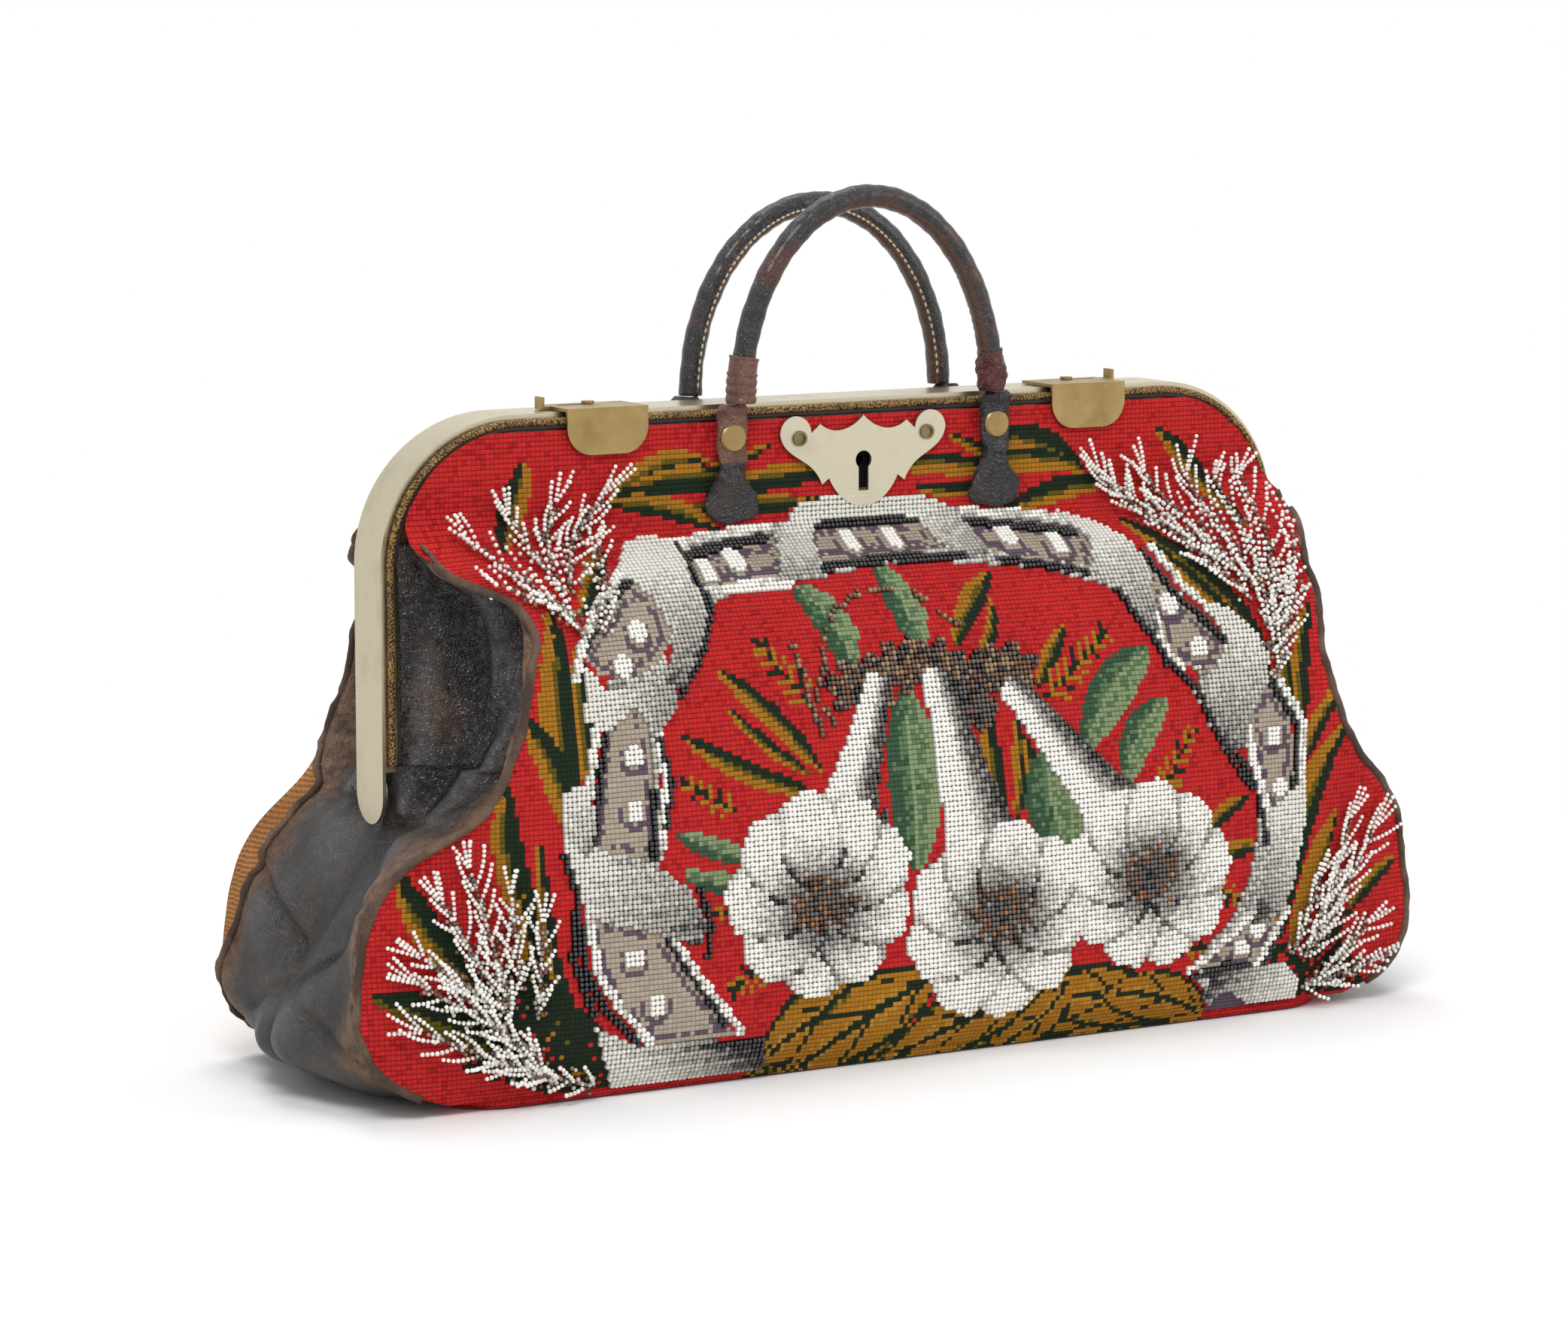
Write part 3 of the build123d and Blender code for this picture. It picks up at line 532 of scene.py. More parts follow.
# %% Canvas
class Canvas:
    """The stitches of the panel: their places, colours, and which of them are beads."""

    def __init__(self, x, z):
        self.x, self.z = x, z
        dice = np.random.default_rng(7)
        self.dice = dice.random(len(x))
        self.colour = np.tile(np.array(red), (len(x), 1))
        self.bead = np.zeros(len(x), bool)
        darker = self.dice < 0.12
        self.colour[darker] = deep_red

    def polygon(self, points):
        """The stitches inside a closed outline."""
        inside = np.zeros(len(self.x), bool)
        for (x0, z0), (x1, z1) in zip(points, points[1:] + points[:1]):
            crosses = (z0 > self.z) != (z1 > self.z)
            if z0 != z1:
                inside ^= crosses & (self.x < (x1 - x0) * (self.z - z0) / (z1 - z0) + x0)
        return inside

    def line(self, points, width):
        """The stitches along a row of points."""
        near = np.zeros(len(self.x), bool)
        for (x0, z0), (x1, z1) in zip(points, points[1:]):
            dx, dz = x1 - x0, z1 - z0
            share = np.clip(((self.x - x0) * dx + (self.z - z0) * dz) / (dx * dx + dz * dz), 0, 1)
            near |= np.hypot(self.x - x0 - share * dx, self.z - z0 - share * dz) < width / 2
        return near

    def disc(self, x, z, radius):
        return np.hypot(self.x - x, self.z - z) < radius

    def fill(self, mask, colour, bead=False):
        self.colour[mask] = colour
        self.bead[mask] = bead

    def shade(self, mask, value, steps, bead=False, scatter=0.16):
        """Fills with steps from light (value 0) to dark (value 1), mixed at their borders."""
        level = np.clip(value + scatter * (self.dice - 0.5), 0, 0.999) * len(steps)
        chosen = np.array(steps)[level.astype(int)]
        self.colour[mask] = chosen[mask]
        self.bead[mask] = bead

    def ramp(self, light, dark):
        """0 at one point to 1 at another, and even across the line between them."""
        dx, dz = dark[0] - light[0], dark[1] - light[1]
        return ((self.x - light[0]) * dx + (self.z - light[1]) * dz) / (dx * dx + dz * dz)

    def blade(self, base, tip, width, bend=0.0):
        """A long leaf: its mask, and how far each stitch lies along and across it."""
        dx, dz = tip[0] - base[0], tip[1] - base[1]
        length = math.hypot(dx, dz)
        along = ((self.x - base[0]) * dx + (self.z - base[1]) * dz) / length**2
        off = ((self.x - base[0]) * -dz + (self.z - base[1]) * dx) / length
        off = off - bend * 4 * along * (1 - along)
        inside = (along > 0) & (along < 1)
        half = width / 2 * (4 * np.clip(along, 0, 1) * (1 - np.clip(along, 0, 1))) ** 0.6
        mask = inside & (np.abs(off) < half)
        return mask, along, off / np.maximum(half, 0.01)


# %% Leaves
fern_gap = 5


def two_tone_leaf(canvas, base, tip, width, bend=0.0, light=ochre, dark=dark_green, split=0.0):
    """A leaf with a light half and a dark half that meet in a ragged vein."""
    mask, along, across = canvas.blade(base, tip, width, bend)
    side = across + 0.35 * (canvas.dice - 0.5) > split
    canvas.fill(mask & side, light)
    canvas.fill(mask & ~side, dark)
    canvas.fill(mask & (np.abs(across - split) < 0.16) & (along < 0.8), olive)


def sage_leaf(canvas, base, tip, width, bend):
    """A leaf that goes from pale to deep green across its width."""
    mask, _, across = canvas.blade(base, tip, width, bend)
    canvas.shade(mask, (across + 1) / 2, [pale_sage, sage, deep_sage], scatter=0.5)
    canvas.fill(mask & (np.abs(across) < 0.1), pale_sage)


def fern(canvas, base, tip, reach):
    """A small sprig of paired leaflets on a stem."""
    (x0, z0), (x1, z1) = base, tip
    canvas.fill(canvas.line([base, tip], 2.2), dark_green)
    length = math.hypot(x1 - x0, z1 - z0)
    ux, uz = (x1 - x0) / length, (z1 - z0) / length
    for step in range(int(length / fern_gap)):
        share = (step + 0.5) * fern_gap / length
        px, pz = x0 + share * (x1 - x0), z0 + share * (z1 - z0)
        size = reach * (1 - 0.6 * share)
        for side in (-1, 1):
            end = (px + size * (0.6 * ux - side * 0.8 * uz), pz + size * (0.6 * uz + side * 0.8 * ux))
            colour = ochre if (step + side) % 4 else dark_green
            canvas.fill(canvas.line([(px, pz), end], 2.1), colour)


# %% Ribbon garland
def ribbon_panel(canvas, outline, beads, light_edge, dark_edge):
    """A flat stretch of ribbon: taupe with a plum border, white bead tufts and edged in beads."""
    mask = canvas.polygon(outline)
    closed = outline + outline[:1]
    canvas.fill(mask, taupe)
    canvas.fill(mask & canvas.line(closed, 9.0) & (canvas.dice < 0.72), plum)
    canvas.fill(mask & canvas.line(closed, 4.0), taupe)
    for x, z in beads:
        canvas.fill(canvas.disc(x, z - 1.5, 6.6) & mask, plum)
        canvas.fill(canvas.disc(x, z, 5.2), taupe)
        canvas.fill(canvas.disc(x, z, 3.9), white, bead=True)
    for line in dark_edge:
        canvas.fill(canvas.line(line, 3.0), black, bead=True)
    for line in light_edge:
        canvas.shade(canvas.line(line, 3.6), canvas.dice, [white, white, white, silver], bead=True)


def ribbon_twist(canvas, outline, light, dark, ripple):
    """A turn of ribbon, beaded from white to black along a direction, in ripples if it has any."""
    mask = canvas.polygon(outline)
    value = canvas.ramp(light, dark)
    if ripple:
        value = value + 0.10 * np.sin(canvas.z * ripple)
    canvas.shade(mask, value * 0.86, shadow_steps, bead=True, scatter=0.2)


# %% Trumpet flowers
def flower(canvas, centre, radius, throat, turn, squash):
    """A beaded bloom seen from the front: overlapping petals round a dark throat."""
    petals = 9
    order = sorted(range(petals), key=lambda k: math.sin(turn + 2 * math.pi * k / petals))
    from_throat = np.hypot(canvas.x - throat[0], (canvas.z - throat[1]) / 0.85) / radius
    from_middle = np.hypot(canvas.x - centre[0], (canvas.z - centre[1]) / squash) / radius
    for k in order:
        angle = turn + 2 * math.pi * k / petals
        cos, sin = math.cos(angle), math.sin(angle)
        size = 1.0 + 0.07 * math.sin(5.1 * k + turn)
        px, pz = centre[0] + 0.52 * radius * cos, centre[1] + 0.52 * radius * sin * squash
        u = (canvas.x - px) * cos + (canvas.z - pz) * sin
        v = -(canvas.x - px) * sin + (canvas.z - pz) * cos
        reach = np.hypot(u / (0.50 * radius * size), v / (0.37 * radius * size))
        scallop = 1 - 0.05 * np.cos(4 * np.arctan2(v, u)) + 0.03 * np.cos(9 * np.arctan2(v, u) + 1.5)
        mask = reach < scallop
        edge = np.clip((reach - 0.80) / 0.20, 0, 1) * np.clip(1.12 - from_middle, 0, 0.36) * 1.5
        hollow = np.clip(1.0 - from_throat, 0, 1) ** 1.3 * 1.05
        vein = 0.10 * np.cos(v / radius * 30) * np.clip(0.8 - from_throat, 0, 1)
        canvas.shade(mask, 0.04 + hollow + edge + vein + 0.05 * (sin < 0), petal_steps, bead=True,
                     scatter=0.2)
    bearing = np.arctan2(canvas.z - throat[1], canvas.x - throat[0])
    deep = np.hypot((canvas.x - throat[0]) / (0.48 * radius), (canvas.z - throat[1]) / (0.40 * radius))
    deep = deep * (1 + 0.12 * np.cos(petals * (bearing - turn)))
    mask = (deep < 1.0) & (canvas.dice < 1.3 - deep)
    canvas.shade(mask, deep, [black, slate, slate, umber, grey, grey, ash], bead=True, scatter=0.4)
    canvas.fill(mask & (deep < 0.7) & (canvas.dice < 0.08), linear(150, 96, 52), bead=True)
    canvas.fill(mask & (deep < 0.8) & (canvas.dice > 0.44) & (canvas.dice < 0.56), umber, bead=True)


def trumpet(canvas, top, foot, top_width, foot_width):
    """The flower's long tube, white on its left and dark along its right edge."""
    dx, dz = foot[0] - top[0], foot[1] - top[1]
    length = math.hypot(dx, dz)
    along = ((canvas.x - top[0]) * dx + (canvas.z - top[1]) * dz) / length**2
    off = ((canvas.x - top[0]) * -dz + (canvas.z - top[1]) * dx) / length
    share = np.clip(along, 0, 1)
    half = (top_width + (foot_width - top_width) * share**1.3) / 2
    mask = (along > -0.02) & (along < 1.0) & (np.abs(off) < half)
    value = 0.5 + 0.5 * off / np.maximum(half, 0.01)
    rib = 0.12 * np.cos(value * 9.0)
    canvas.shade(mask, np.clip(value, 0, 1) ** 1.7 + rib, petal_steps, bead=True, scatter=0.2)


# %% Leaves round the edge
def paint_edges(canvas):
    # Long leaves along the top, either side of the lock
    for base, tip, width, bend, split in (
            ((-112, 226), (-66, 240), 12, 5, 0.1), ((-104, 230), (-52, 232), 11, 2, 0.25),
            ((-114, 225), (-62, 212), 9, 4, -0.1), ((-68, 226), (-6, 233), 10, 2, 0.2),
            ((-74, 222), (-14, 222), 7, -1, 0.3), ((-70, 236), (-38, 245), 5, -1, 0.0),
            ((112, 226), (66, 243), 13, -5, 0.1), ((106, 230), (56, 231), 11, -2, -0.2),
            ((128, 222), (70, 211), 10, -3, 0.2), ((72, 228), (20, 233), 9, -2, -0.2),
            ((70, 222), (30, 224), 7, 1, 0.2), ((72, 234), (46, 246), 5, 1, 0.0)):
        two_tone_leaf(canvas, base, tip, width, bend, split=split)
    # Upright leaves at the shoulders
    two_tone_leaf(canvas, (-163, 210), (-149, 244), 12, -2, light=dark_green, dark=ochre)
    two_tone_leaf(canvas, (180, 202), (148, 243), 10, -3)
    two_tone_leaf(canvas, (-144, 186), (-118, 207), 7, 2)
    # Leaf bands up the left edge
    for base, tip, width, bend, split in (
            ((-160, 108), (-158, 190), 17, 3, -0.1), ((-150, 118), (-150, 176), 10, 0, 0.1),
            ((-158, 104), (-177, 152), 13, -3, 0.1), ((-172, 58), (-187, 131), 13, 4, 0.2),
            ((-150, 6), (-179, 86), 17, 6, 0.25), ((-164, 36), (-172, 104), 7, 2, 0.0)):
        two_tone_leaf(canvas, base, tip, width, bend, split=split)
    # Dark ground and leaves under the lower left sprays
    ground = canvas.polygon([(-212, 62), (-196, 52), (-176, 58), (-160, 40), (-142, 22), (-128, 4),
                             (-168, 4), (-206, 18), (-196, 34)])
    canvas.fill(ground & (canvas.dice < 0.86), dark_green)
    two_tone_leaf(canvas, (-196, 48), (-230, 97), 13, 4, split=0.2)
    two_tone_leaf(canvas, (-186, 20), (-240, 49), 14, -3, split=0.3, light=olive)
    # Leaf bands up the right edge
    for base, tip, width, bend, split in (
            ((172, 32), (209, 120), 17, 7, -0.25), ((178, 22), (206, 84), 12, 2, -0.5),
            ((172, 150), (124, 207), 11, -4, 0.1), ((182, 122), (128, 200), 9, -3, -0.1),
            ((186, 118), (193, 172), 9, 3, 0.1), ((187, 104), (204, 136), 9, 2, -0.1),
            ((178, 126), (176, 158), 7, -2, 0.0)):
        two_tone_leaf(canvas, base, tip, width, bend, split=split)
    ground = canvas.polygon([(172, 34), (184, 24), (206, 38), (222, 46), (206, 30), (222, 6), (150, 4)])
    canvas.fill(ground & (canvas.dice < 0.8), dark_green)
    two_tone_leaf(canvas, (212, 40), (241, 59), 8, 2)


# %% Leaves round the flowers
def paint_sprigs(canvas):
    # Blades and ferny sprigs
    for base, tip, width, bend in (
            ((-46, 120), (-89, 163), 9, -2), ((-50, 112), (-108, 139), 9, 3),
            ((-52, 120), (-86, 148), 6, 2), ((22, 164), (50, 191), 10, 2),
            ((32, 158), (46, 182), 6, -2), ((58, 145), (76, 169), 8, 1),
            ((36, 96), (33, 138), 10, 2), ((42, 94), (46, 134), 8, -2),
            ((55, 92), (50, 126), 8, 1), ((132, 77), (158, 94), 8, 2), ((136, 66), (163, 73), 8, 2)):
        two_tone_leaf(canvas, base, tip, width, bend)
    for base, tip, reach in (((-48, 146), (-68, 172), 8), ((-86, 108), (-110, 122), 6),
                             ((62, 142), (96, 166), 9), ((114, 100), (132, 124), 8),
                             ((-82, 72), (-100, 68), 6), ((-74, 46), (-94, 38), 8),
                             ((138, 58), (152, 50), 7), ((112, 36), (136, 32), 7)):
        fern(canvas, base, tip, reach)
    for base, tip, width, bend in (
            ((-26, 158), (-42, 191), 17, -4), ((6, 162), (-2, 197), 16, -3),
            ((-5, 78), (-4, 150), 25, 0), ((68, 78), (58, 122), 26, 3),
            ((78, 120), (114, 158), 20, 4), ((96, 104), (119, 137), 16, 4),
            ((-76, 88), (-114, 102), 9, 1), ((-80, 80), (-111, 86), 9, 2)):
        sage_leaf(canvas, base, tip, width, bend)
    # Broad autumn leaves along the foot
    ground = canvas.polygon([(-84, -2), (126, -2), (116, 14), (60, 18), (-20, 16), (-72, 12)])
    canvas.shade(ground, canvas.dice, [ochre, olive, dark_green, dark_green], scatter=0.3)
    for base, tip, width, bend in (
            ((-76, 8), (-26, 34), 30, 3), ((-60, -2), (0, 34), 34, 4), ((-14, -2), (44, 20), 32, 4),
            ((44, 32), (92, 4), 30, -2), ((54, 20), (114, 6), 28, 4), ((84, 18), (138, 2), 24, 4),
            ((36, -2), (66, 28), 22, -4)):
        mask, along, across = canvas.blade(base, tip, width, bend)
        canvas.shade(mask, np.abs(across) * 0.9, [pale_ochre, ochre, ochre, ochre, olive], scatter=0.3)
        canvas.fill(mask & (np.abs(across) > 0.84), dark_green)
        canvas.fill(mask & (np.abs(across) < 0.09), dark_green)
        ribs = np.abs(((along * 2.6 + np.abs(across) * 0.9) % 1.0) - 0.5) < 0.05
        canvas.fill(mask & ribs, dark_green)


# %% Stems and flowers
def paint_flowers(canvas):
    # Thin curls of smoky beads
    for curl in ([(-52, 169), (-49, 158), (-48, 146), (-44, 134)],
                 [(-36, 150), (-40, 166), (-30, 180), (-14, 187), (0, 187)],
                 [(10, 186), (18, 178), (26, 172)], [(-38, 138), (-46, 150), (-40, 160)]):
        mask = canvas.line(curl, 2.1) & (canvas.dice < 0.8)
        canvas.shade(mask, canvas.dice, [umber, smoke, umber, slate], bead=True)
    # Smoky calyx over the three tubes
    for x, z, reach in ((-24, 152, 18), (-4, 158, 17), (12, 158, 15), (28, 152, 16), (44, 154, 17)):
        for ray in range(7):
            angle = 2 * math.pi * (ray + 0.3) / 7
            tip = (x + reach * math.cos(angle), z + 0.7 * reach * math.sin(angle))
            mask = canvas.blade((x, z), tip, 7)[0]
            canvas.shade(mask, canvas.dice, [smoke, umber, slate, umber, umber, black], bead=True)
    for outline in ([(18, 152), (27, 148), (38, 142), (36, 134), (30, 130), (22, 134)],
                    [(-30, 98), (-18, 104), (-16, 84), (-8, 80), (-14, 76), (-24, 84)]):
        canvas.shade(canvas.polygon(outline), canvas.dice, [umber, black, slate], bead=True)
    # Flowers
    trumpet(canvas, (-16, 154), (-44, 84), 11, 34)
    trumpet(canvas, (10, 155), (26, 78), 13, 38)
    trumpet(canvas, (44, 148), (94, 88), 12, 30)
    flower(canvas, (-50, 73), 42, (-50, 68), turn=0.35, squash=1.0)
    flower(canvas, (106, 66), 41, (107, 66), turn=0.1, squash=0.96)
    flower(canvas, (32, 55), 43, (34, 57), turn=0.62, squash=0.9)


# %% Flat stretches of the ribbon
ribbon_bands = [  # outline of a flat stretch, bead tufts, white edges, dark edges
    ([(-154, 73), (-150, 52), (-142, 37), (-126, 20), (-90, 20), (-112, 48), (-122, 64),
      (-138, 70)],
     [(-134, 55), (-125, 36)],
     [[(-153, 72), (-149, 50), (-141, 36), (-127, 21)], [(-116, 60), (-104, 42), (-87, 21)]],
     [[(-157, 76), (-155, 52), (-147, 36), (-134, 22)], [(-121, 64), (-112, 50), (-95, 26)]]),
    ([(-139, 154), (-146, 128), (-150, 98), (-122, 92), (-121, 118), (-122, 142), (-128, 156)],
     [(-130, 133), (-131, 112)],
     [[(-143, 156), (-149, 128), (-153, 104)], [(-119, 152), (-117, 122), (-120, 98)]],
     [[(-139, 152), (-145, 126), (-149, 100)], [(-122, 118), (-124, 94)]]),
    ([(-148, 172), (-140, 164), (-126, 162), (-112, 168), (-104, 178), (-109, 192), (-114, 197),
      (-126, 190), (-139, 180)],
     [(-120, 179), (-130, 167)],
     [[(-152, 164), (-147, 176), (-136, 188), (-122, 197), (-110, 203)]],
     [[(-147, 173), (-137, 184), (-124, 193), (-114, 198)]]),
    ([(-94, 203), (-90, 192), (-66, 193), (-44, 194), (-40, 208), (-66, 206)],
     [(-79, 198), (-64, 201)],
     [[(-92, 207), (-66, 210), (-42, 212)], [(-88, 190), (-62, 192), (-44, 192)]],
     [[(-93, 202), (-66, 206), (-44, 208)]]),
    ([(-24, 211), (-28, 198), (6, 199), (34, 199), (30, 211), (4, 212)],
     [(-7, 205), (13, 205)],
     [[(-20, 214), (4, 215), (28, 214)]],
     [[(-22, 211), (4, 212), (28, 211)], [(-30, 196), (4, 198), (40, 197)]]),
    ([(50, 210), (52, 198), (74, 194), (100, 189), (103, 204), (76, 208)],
     [(66, 203), (87, 199)],
     [[(52, 213), (78, 211), (104, 207)]],
     [[(52, 209), (76, 206), (98, 203)], [(56, 195), (76, 192), (94, 188)]]),
    ([(124, 193), (121, 172), (122, 156), (130, 149), (146, 147), (152, 158), (140, 168),
      (131, 178)],
     [(128, 174), (138, 156)],
     [[(122, 192), (120, 172), (121, 158), (129, 147)], [(130, 196), (138, 180), (154, 164)]],
     [[(125, 194), (132, 178), (151, 159)], [(121, 152), (132, 142)]]),
    ([(169, 141), (158, 125), (161, 108), (167, 86), (178, 85), (182, 108), (180, 126)],
     [(171, 118), (174, 96)],
     [[(158, 122), (161, 106), (168, 84)], [(173, 144), (186, 122), (186, 100), (180, 82)]],
     [[(170, 141), (183, 122), (183, 102), (178, 84)], [(153, 110), (163, 96), (166, 74)]]),
    ([(128, 24), (140, 34), (160, 44), (172, 44), (164, 22)],
     [(152, 31), (160, 38)],
     [[(126, 24), (144, 36), (160, 45)], [(160, 22), (168, 34), (176, 44)]],
     [[(130, 21), (146, 24), (160, 21)], [(164, 22), (172, 36)]]),
]
print("flat stretches", len(ribbon_bands))

# %% Turns of the ribbon
ribbon_twists = [  # outline of a turn, its light side, its dark side, ripple
    ([(-152, 30), (-132, 20), (-98, 19), (-76, 18), (-74, 4), (-142, 4)],
     (-120, 2), (-108, 23), 1.2),
    ([(-160, 114), (-154, 104), (-138, 92), (-120, 88), (-108, 79), (-102, 66), (-104, 57),
      (-120, 62), (-138, 68), (-152, 72), (-158, 84), (-163, 100)], (-156, 98), (-104, 54), 0.9),
    ([(-162, 122), (-150, 124), (-148, 106), (-152, 94), (-161, 104)],
     (-160, 118), (-140, 100), 0.0),
    ([(-147, 168), (-138, 158), (-122, 160), (-110, 166), (-108, 150), (-118, 140), (-128, 152),
      (-140, 142), (-150, 148)], (-142, 158), (-104, 140), 0.0),
    ([(-118, 200), (-108, 209), (-96, 212), (-84, 208), (-88, 196), (-84, 184), (-90, 170),
      (-104, 156), (-112, 160), (-104, 176), (-108, 190)], (-106, 206), (-92, 160), 0.0),
    ([(-50, 193), (-38, 206), (-26, 220), (-12, 223), (10, 222), (8, 214), (-18, 213), (-24, 204),
      (-28, 194)], (-30, 216), (-30, 184), 0.0),
    ([(8, 214), (10, 222), (26, 222), (40, 219), (52, 208), (52, 196), (40, 198), (30, 208),
      (28, 214)], (30, 220), (50, 188), 0.0),
    ([(96, 211), (112, 206), (122, 198), (124, 186), (121, 172), (121, 160), (112, 168), (106, 180),
      (98, 190), (104, 200)], (108, 206), (112, 160), 0.0),
    ([(144, 174), (156, 171), (166, 162), (172, 152), (169, 140), (159, 130), (158, 116),
      (148, 110), (139, 124), (132, 140), (144, 146), (152, 158)], (156, 168), (142, 112), 0.0),
    ([(166, 86), (188, 98), (187, 78), (181, 56), (173, 42), (158, 40), (162, 54), (169, 68)],
     (184, 84), (150, 52), 0.0),
    ([(138, 22), (176, 21), (184, 14), (184, 6), (142, 4), (134, 12)], (170, 4), (150, 26), 1.2),
]
print("turns", len(ribbon_twists))


# %% Paint the chart
def paint_garland(canvas):
    garland = [(-108, 24), (-126, 36), (-136, 56), (-136, 76), (-130, 98), (-131, 130), (-128, 156),
               (-116, 180), (-98, 192), (-70, 201), (-36, 203), (4, 207), (42, 205), (76, 201),
               (108, 192), (126, 172), (144, 152), (160, 134), (170, 110), (174, 84), (168, 58),
               (156, 38), (140, 24)]
    canvas.shade(canvas.line(garland, 21), canvas.dice, [silver, silver, ash, grey], bead=True)
    for outline, tufts, light_edges, dark_edges in ribbon_bands:
        ribbon_panel(canvas, outline, tufts, light_edges, dark_edges)
    for outline, light, dark, ripple in ribbon_twists:
        ribbon_twist(canvas, outline, light, dark, ripple)
    canvas.fill(canvas.polygon([(138, 4), (160, 4), (150, 12), (142, 12)]), plum)
    for rim in ([(-104, 80), (-100, 64), (-102, 52)], [(-162, 98), (-157, 82), (-160, 58), (-152, 34)],
                [(-85, 207), (-84, 184), (-94, 168), (-106, 154)],
                [(-118, 138), (-114, 122), (-118, 104)],
                [(106, 180), (114, 166), (122, 152), (134, 140), (142, 122), (152, 106), (160, 96)],
                [(126, 22), (140, 20)]):
        canvas.fill(canvas.line(rim, 2.6), black, bead=True)


def paint_pattern(canvas):
    """The whole chart, from what lies lowest to what lies on top."""
    paint_edges(canvas)
    paint_sprigs(canvas)
    paint_flowers(canvas)
    paint_garland(canvas)


print("pattern ready")

# %% [markdown]
# ## The stitched front
# The canvas starts as a flat grid with one square for each stitch. Each row is pulled in to the
# width that the bag has at that height and pressed back onto the shape of the front panel. Near
# the frame it reaches out to the gold cord, at its ends it runs under the leather piping, and at
# the foot it is rolled over the edge of the base. Then every square is poked up in its middle, so
# that each stitch is a small cushion of its own.

# %% Read the shapes
stitch_pitch = 2.0
frame_half, frame_top, frame_corner = 0.210, 0.262, 0.058
frame_start, frame_blend = 0.2065, 0.008  # where the cloth starts to reach out to the frame
cloth_inset = 0.0052
scan_reach, scan_step = 0.252, 0.001
ray_start, ray_length = 0.3, 0.3
front_tree, base_tree = surface("front_panel"), surface("base")


def centre_line(node):
    """The middle of an upright CAD tube, from its points in thin slices."""
    points = points_of(nodes[node])
    low, high = points[:, 2].min(), points[:, 2].max()
    levels = np.unique(points[:, 2].round(4))
    levels = [z for z in levels if (np.abs(points[:, 2] - z) < 0.0002).sum() >= 8]
    middles = np.array([points[np.abs(points[:, 2] - z) < 0.0002].mean(axis=0) for z in levels])
    heights = np.linspace(low, high, 90)
    line = np.stack([np.interp(heights, middles[:, 2], middles[:, k]) for k in range(2)] + [heights], 1)
    for _ in range(4):
        line[1:-1, :2] = (line[:-2, :2] + 2 * line[1:-1, :2] + line[2:, :2]) / 4
    return line


seams = {name: centre_line(name) for name in nodes if name.startswith("welt_")}


def seam_at(face, side, z):
    """Where a corner seam is at a height."""
    line = seams["welt_" + ("front" if face < 0 else "rear") + ("_left" if side < 0 else "_right")]
    return np.interp(z, line[:, 2], line[:, 0]), np.interp(z, line[:, 2], line[:, 1])


def wall_depth(tree, face, x, z):
    """How deep a wall lies at a place, seen from its own side, or None where there is none."""
    start, way = Vector((x, face * ray_start, z)), Vector((0, -face, 0))
    hit = tree.ray_cast(start, way, ray_length)[0]
    return None if hit is None else hit.y


def row_limits(tree, face, height):
    """How far the panel reaches left and right at a height."""
    steps = range(int(-scan_reach / scan_step), int(scan_reach / scan_step) + 1)
    found = [k * scan_step for k in steps
             if wall_depth(tree, face, k * scan_step, height) is not None]
    return found[0], found[-1]


def known_depths(tree, face, xs, zs):
    """Depths at several places; where a ray misses, the nearest known depth is used."""
    depths = [wall_depth(tree, face, x, z) for x, z in zip(xs, zs)]
    known = [k for k, value in enumerate(depths) if value is not None]
    return np.interp(range(len(depths)), known, [depths[k] for k in known])


def profile_heights(tree, face, pitch, bottom, top):
    """Heights of rows that are evenly spaced along the cloth at the middle of the panel."""
    heights = np.linspace(bottom, top, 400)
    depths = known_depths(tree, face, np.full(400, -0.06), heights)
    run = np.concatenate([[0], np.cumsum(np.hypot(np.diff(heights), np.diff(depths)))])
    rows = max(int(round(run[-1] / pitch)), 2)
    return np.interp(np.linspace(0, run[-1], rows + 1), run, heights)


print("seams", list(seams))


# %% Press a grid onto a panel
def frame_reach(z, inset):
    """Half the width inside the frame's arch at a height, some way in from its outside."""
    rise = np.clip((z - frame_top + frame_corner) / (frame_corner - inset), 0, 1)
    return frame_half - frame_corner + (frame_corner - inset) * math.sqrt(1 - rise * rise)


def panel_grid(node, face, pitch, inset=cloth_inset, sunk=0.0, foot=True):
    """A grid pressed onto a panel or sunk behind it, and its places; a foot runs on over the base."""
    tree = surface(node)
    low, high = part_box(node)
    heights = profile_heights(tree, face, pitch, low[2] + 0.0006, high[2] - 0.0006)
    limits = [row_limits(tree, face, z) for z in heights]
    widest = max(max(-a, b) for a, b in limits)
    columns = 2 * int(math.ceil(widest / pitch))
    xs = (np.arange(columns + 1) - columns / 2) * pitch
    places = []
    for (left, right), z in zip(limits, heights):
        near_frame = np.clip((z - frame_start) / frame_blend, 0, 1)
        reach = frame_reach(z, inset)
        left, right = left + near_frame * (-reach - left), right + near_frame * (reach - right)
        row = np.clip(xs, left, right)
        depths = known_depths(tree, face, row, np.full(columns + 1, z)) - face * sunk
        row_heights = np.full(columns + 1, z)
        if z < frame_start and not sunk:
            for side, past in ((-1, xs < left), (1, xs > right)):
                row[past], depths[past] = seam_at(face, side, z)
        places.append(np.stack([row, depths, row_heights], axis=1))
    if foot:
        base_edge = 0.0015
        row = np.clip(xs, *row_limits(base_tree, face, base_edge))
        depths = known_depths(base_tree, face, row, np.full(columns + 1, base_edge))
        for z in (0.0029, 0.0012, 0.0003):
            off = face * (0.0005 + 0.2 * z)
            places.insert(0, np.stack([row, depths + off, np.full(columns + 1, z)], axis=1))
    places = np.array(places)
    return grid_of(places), places


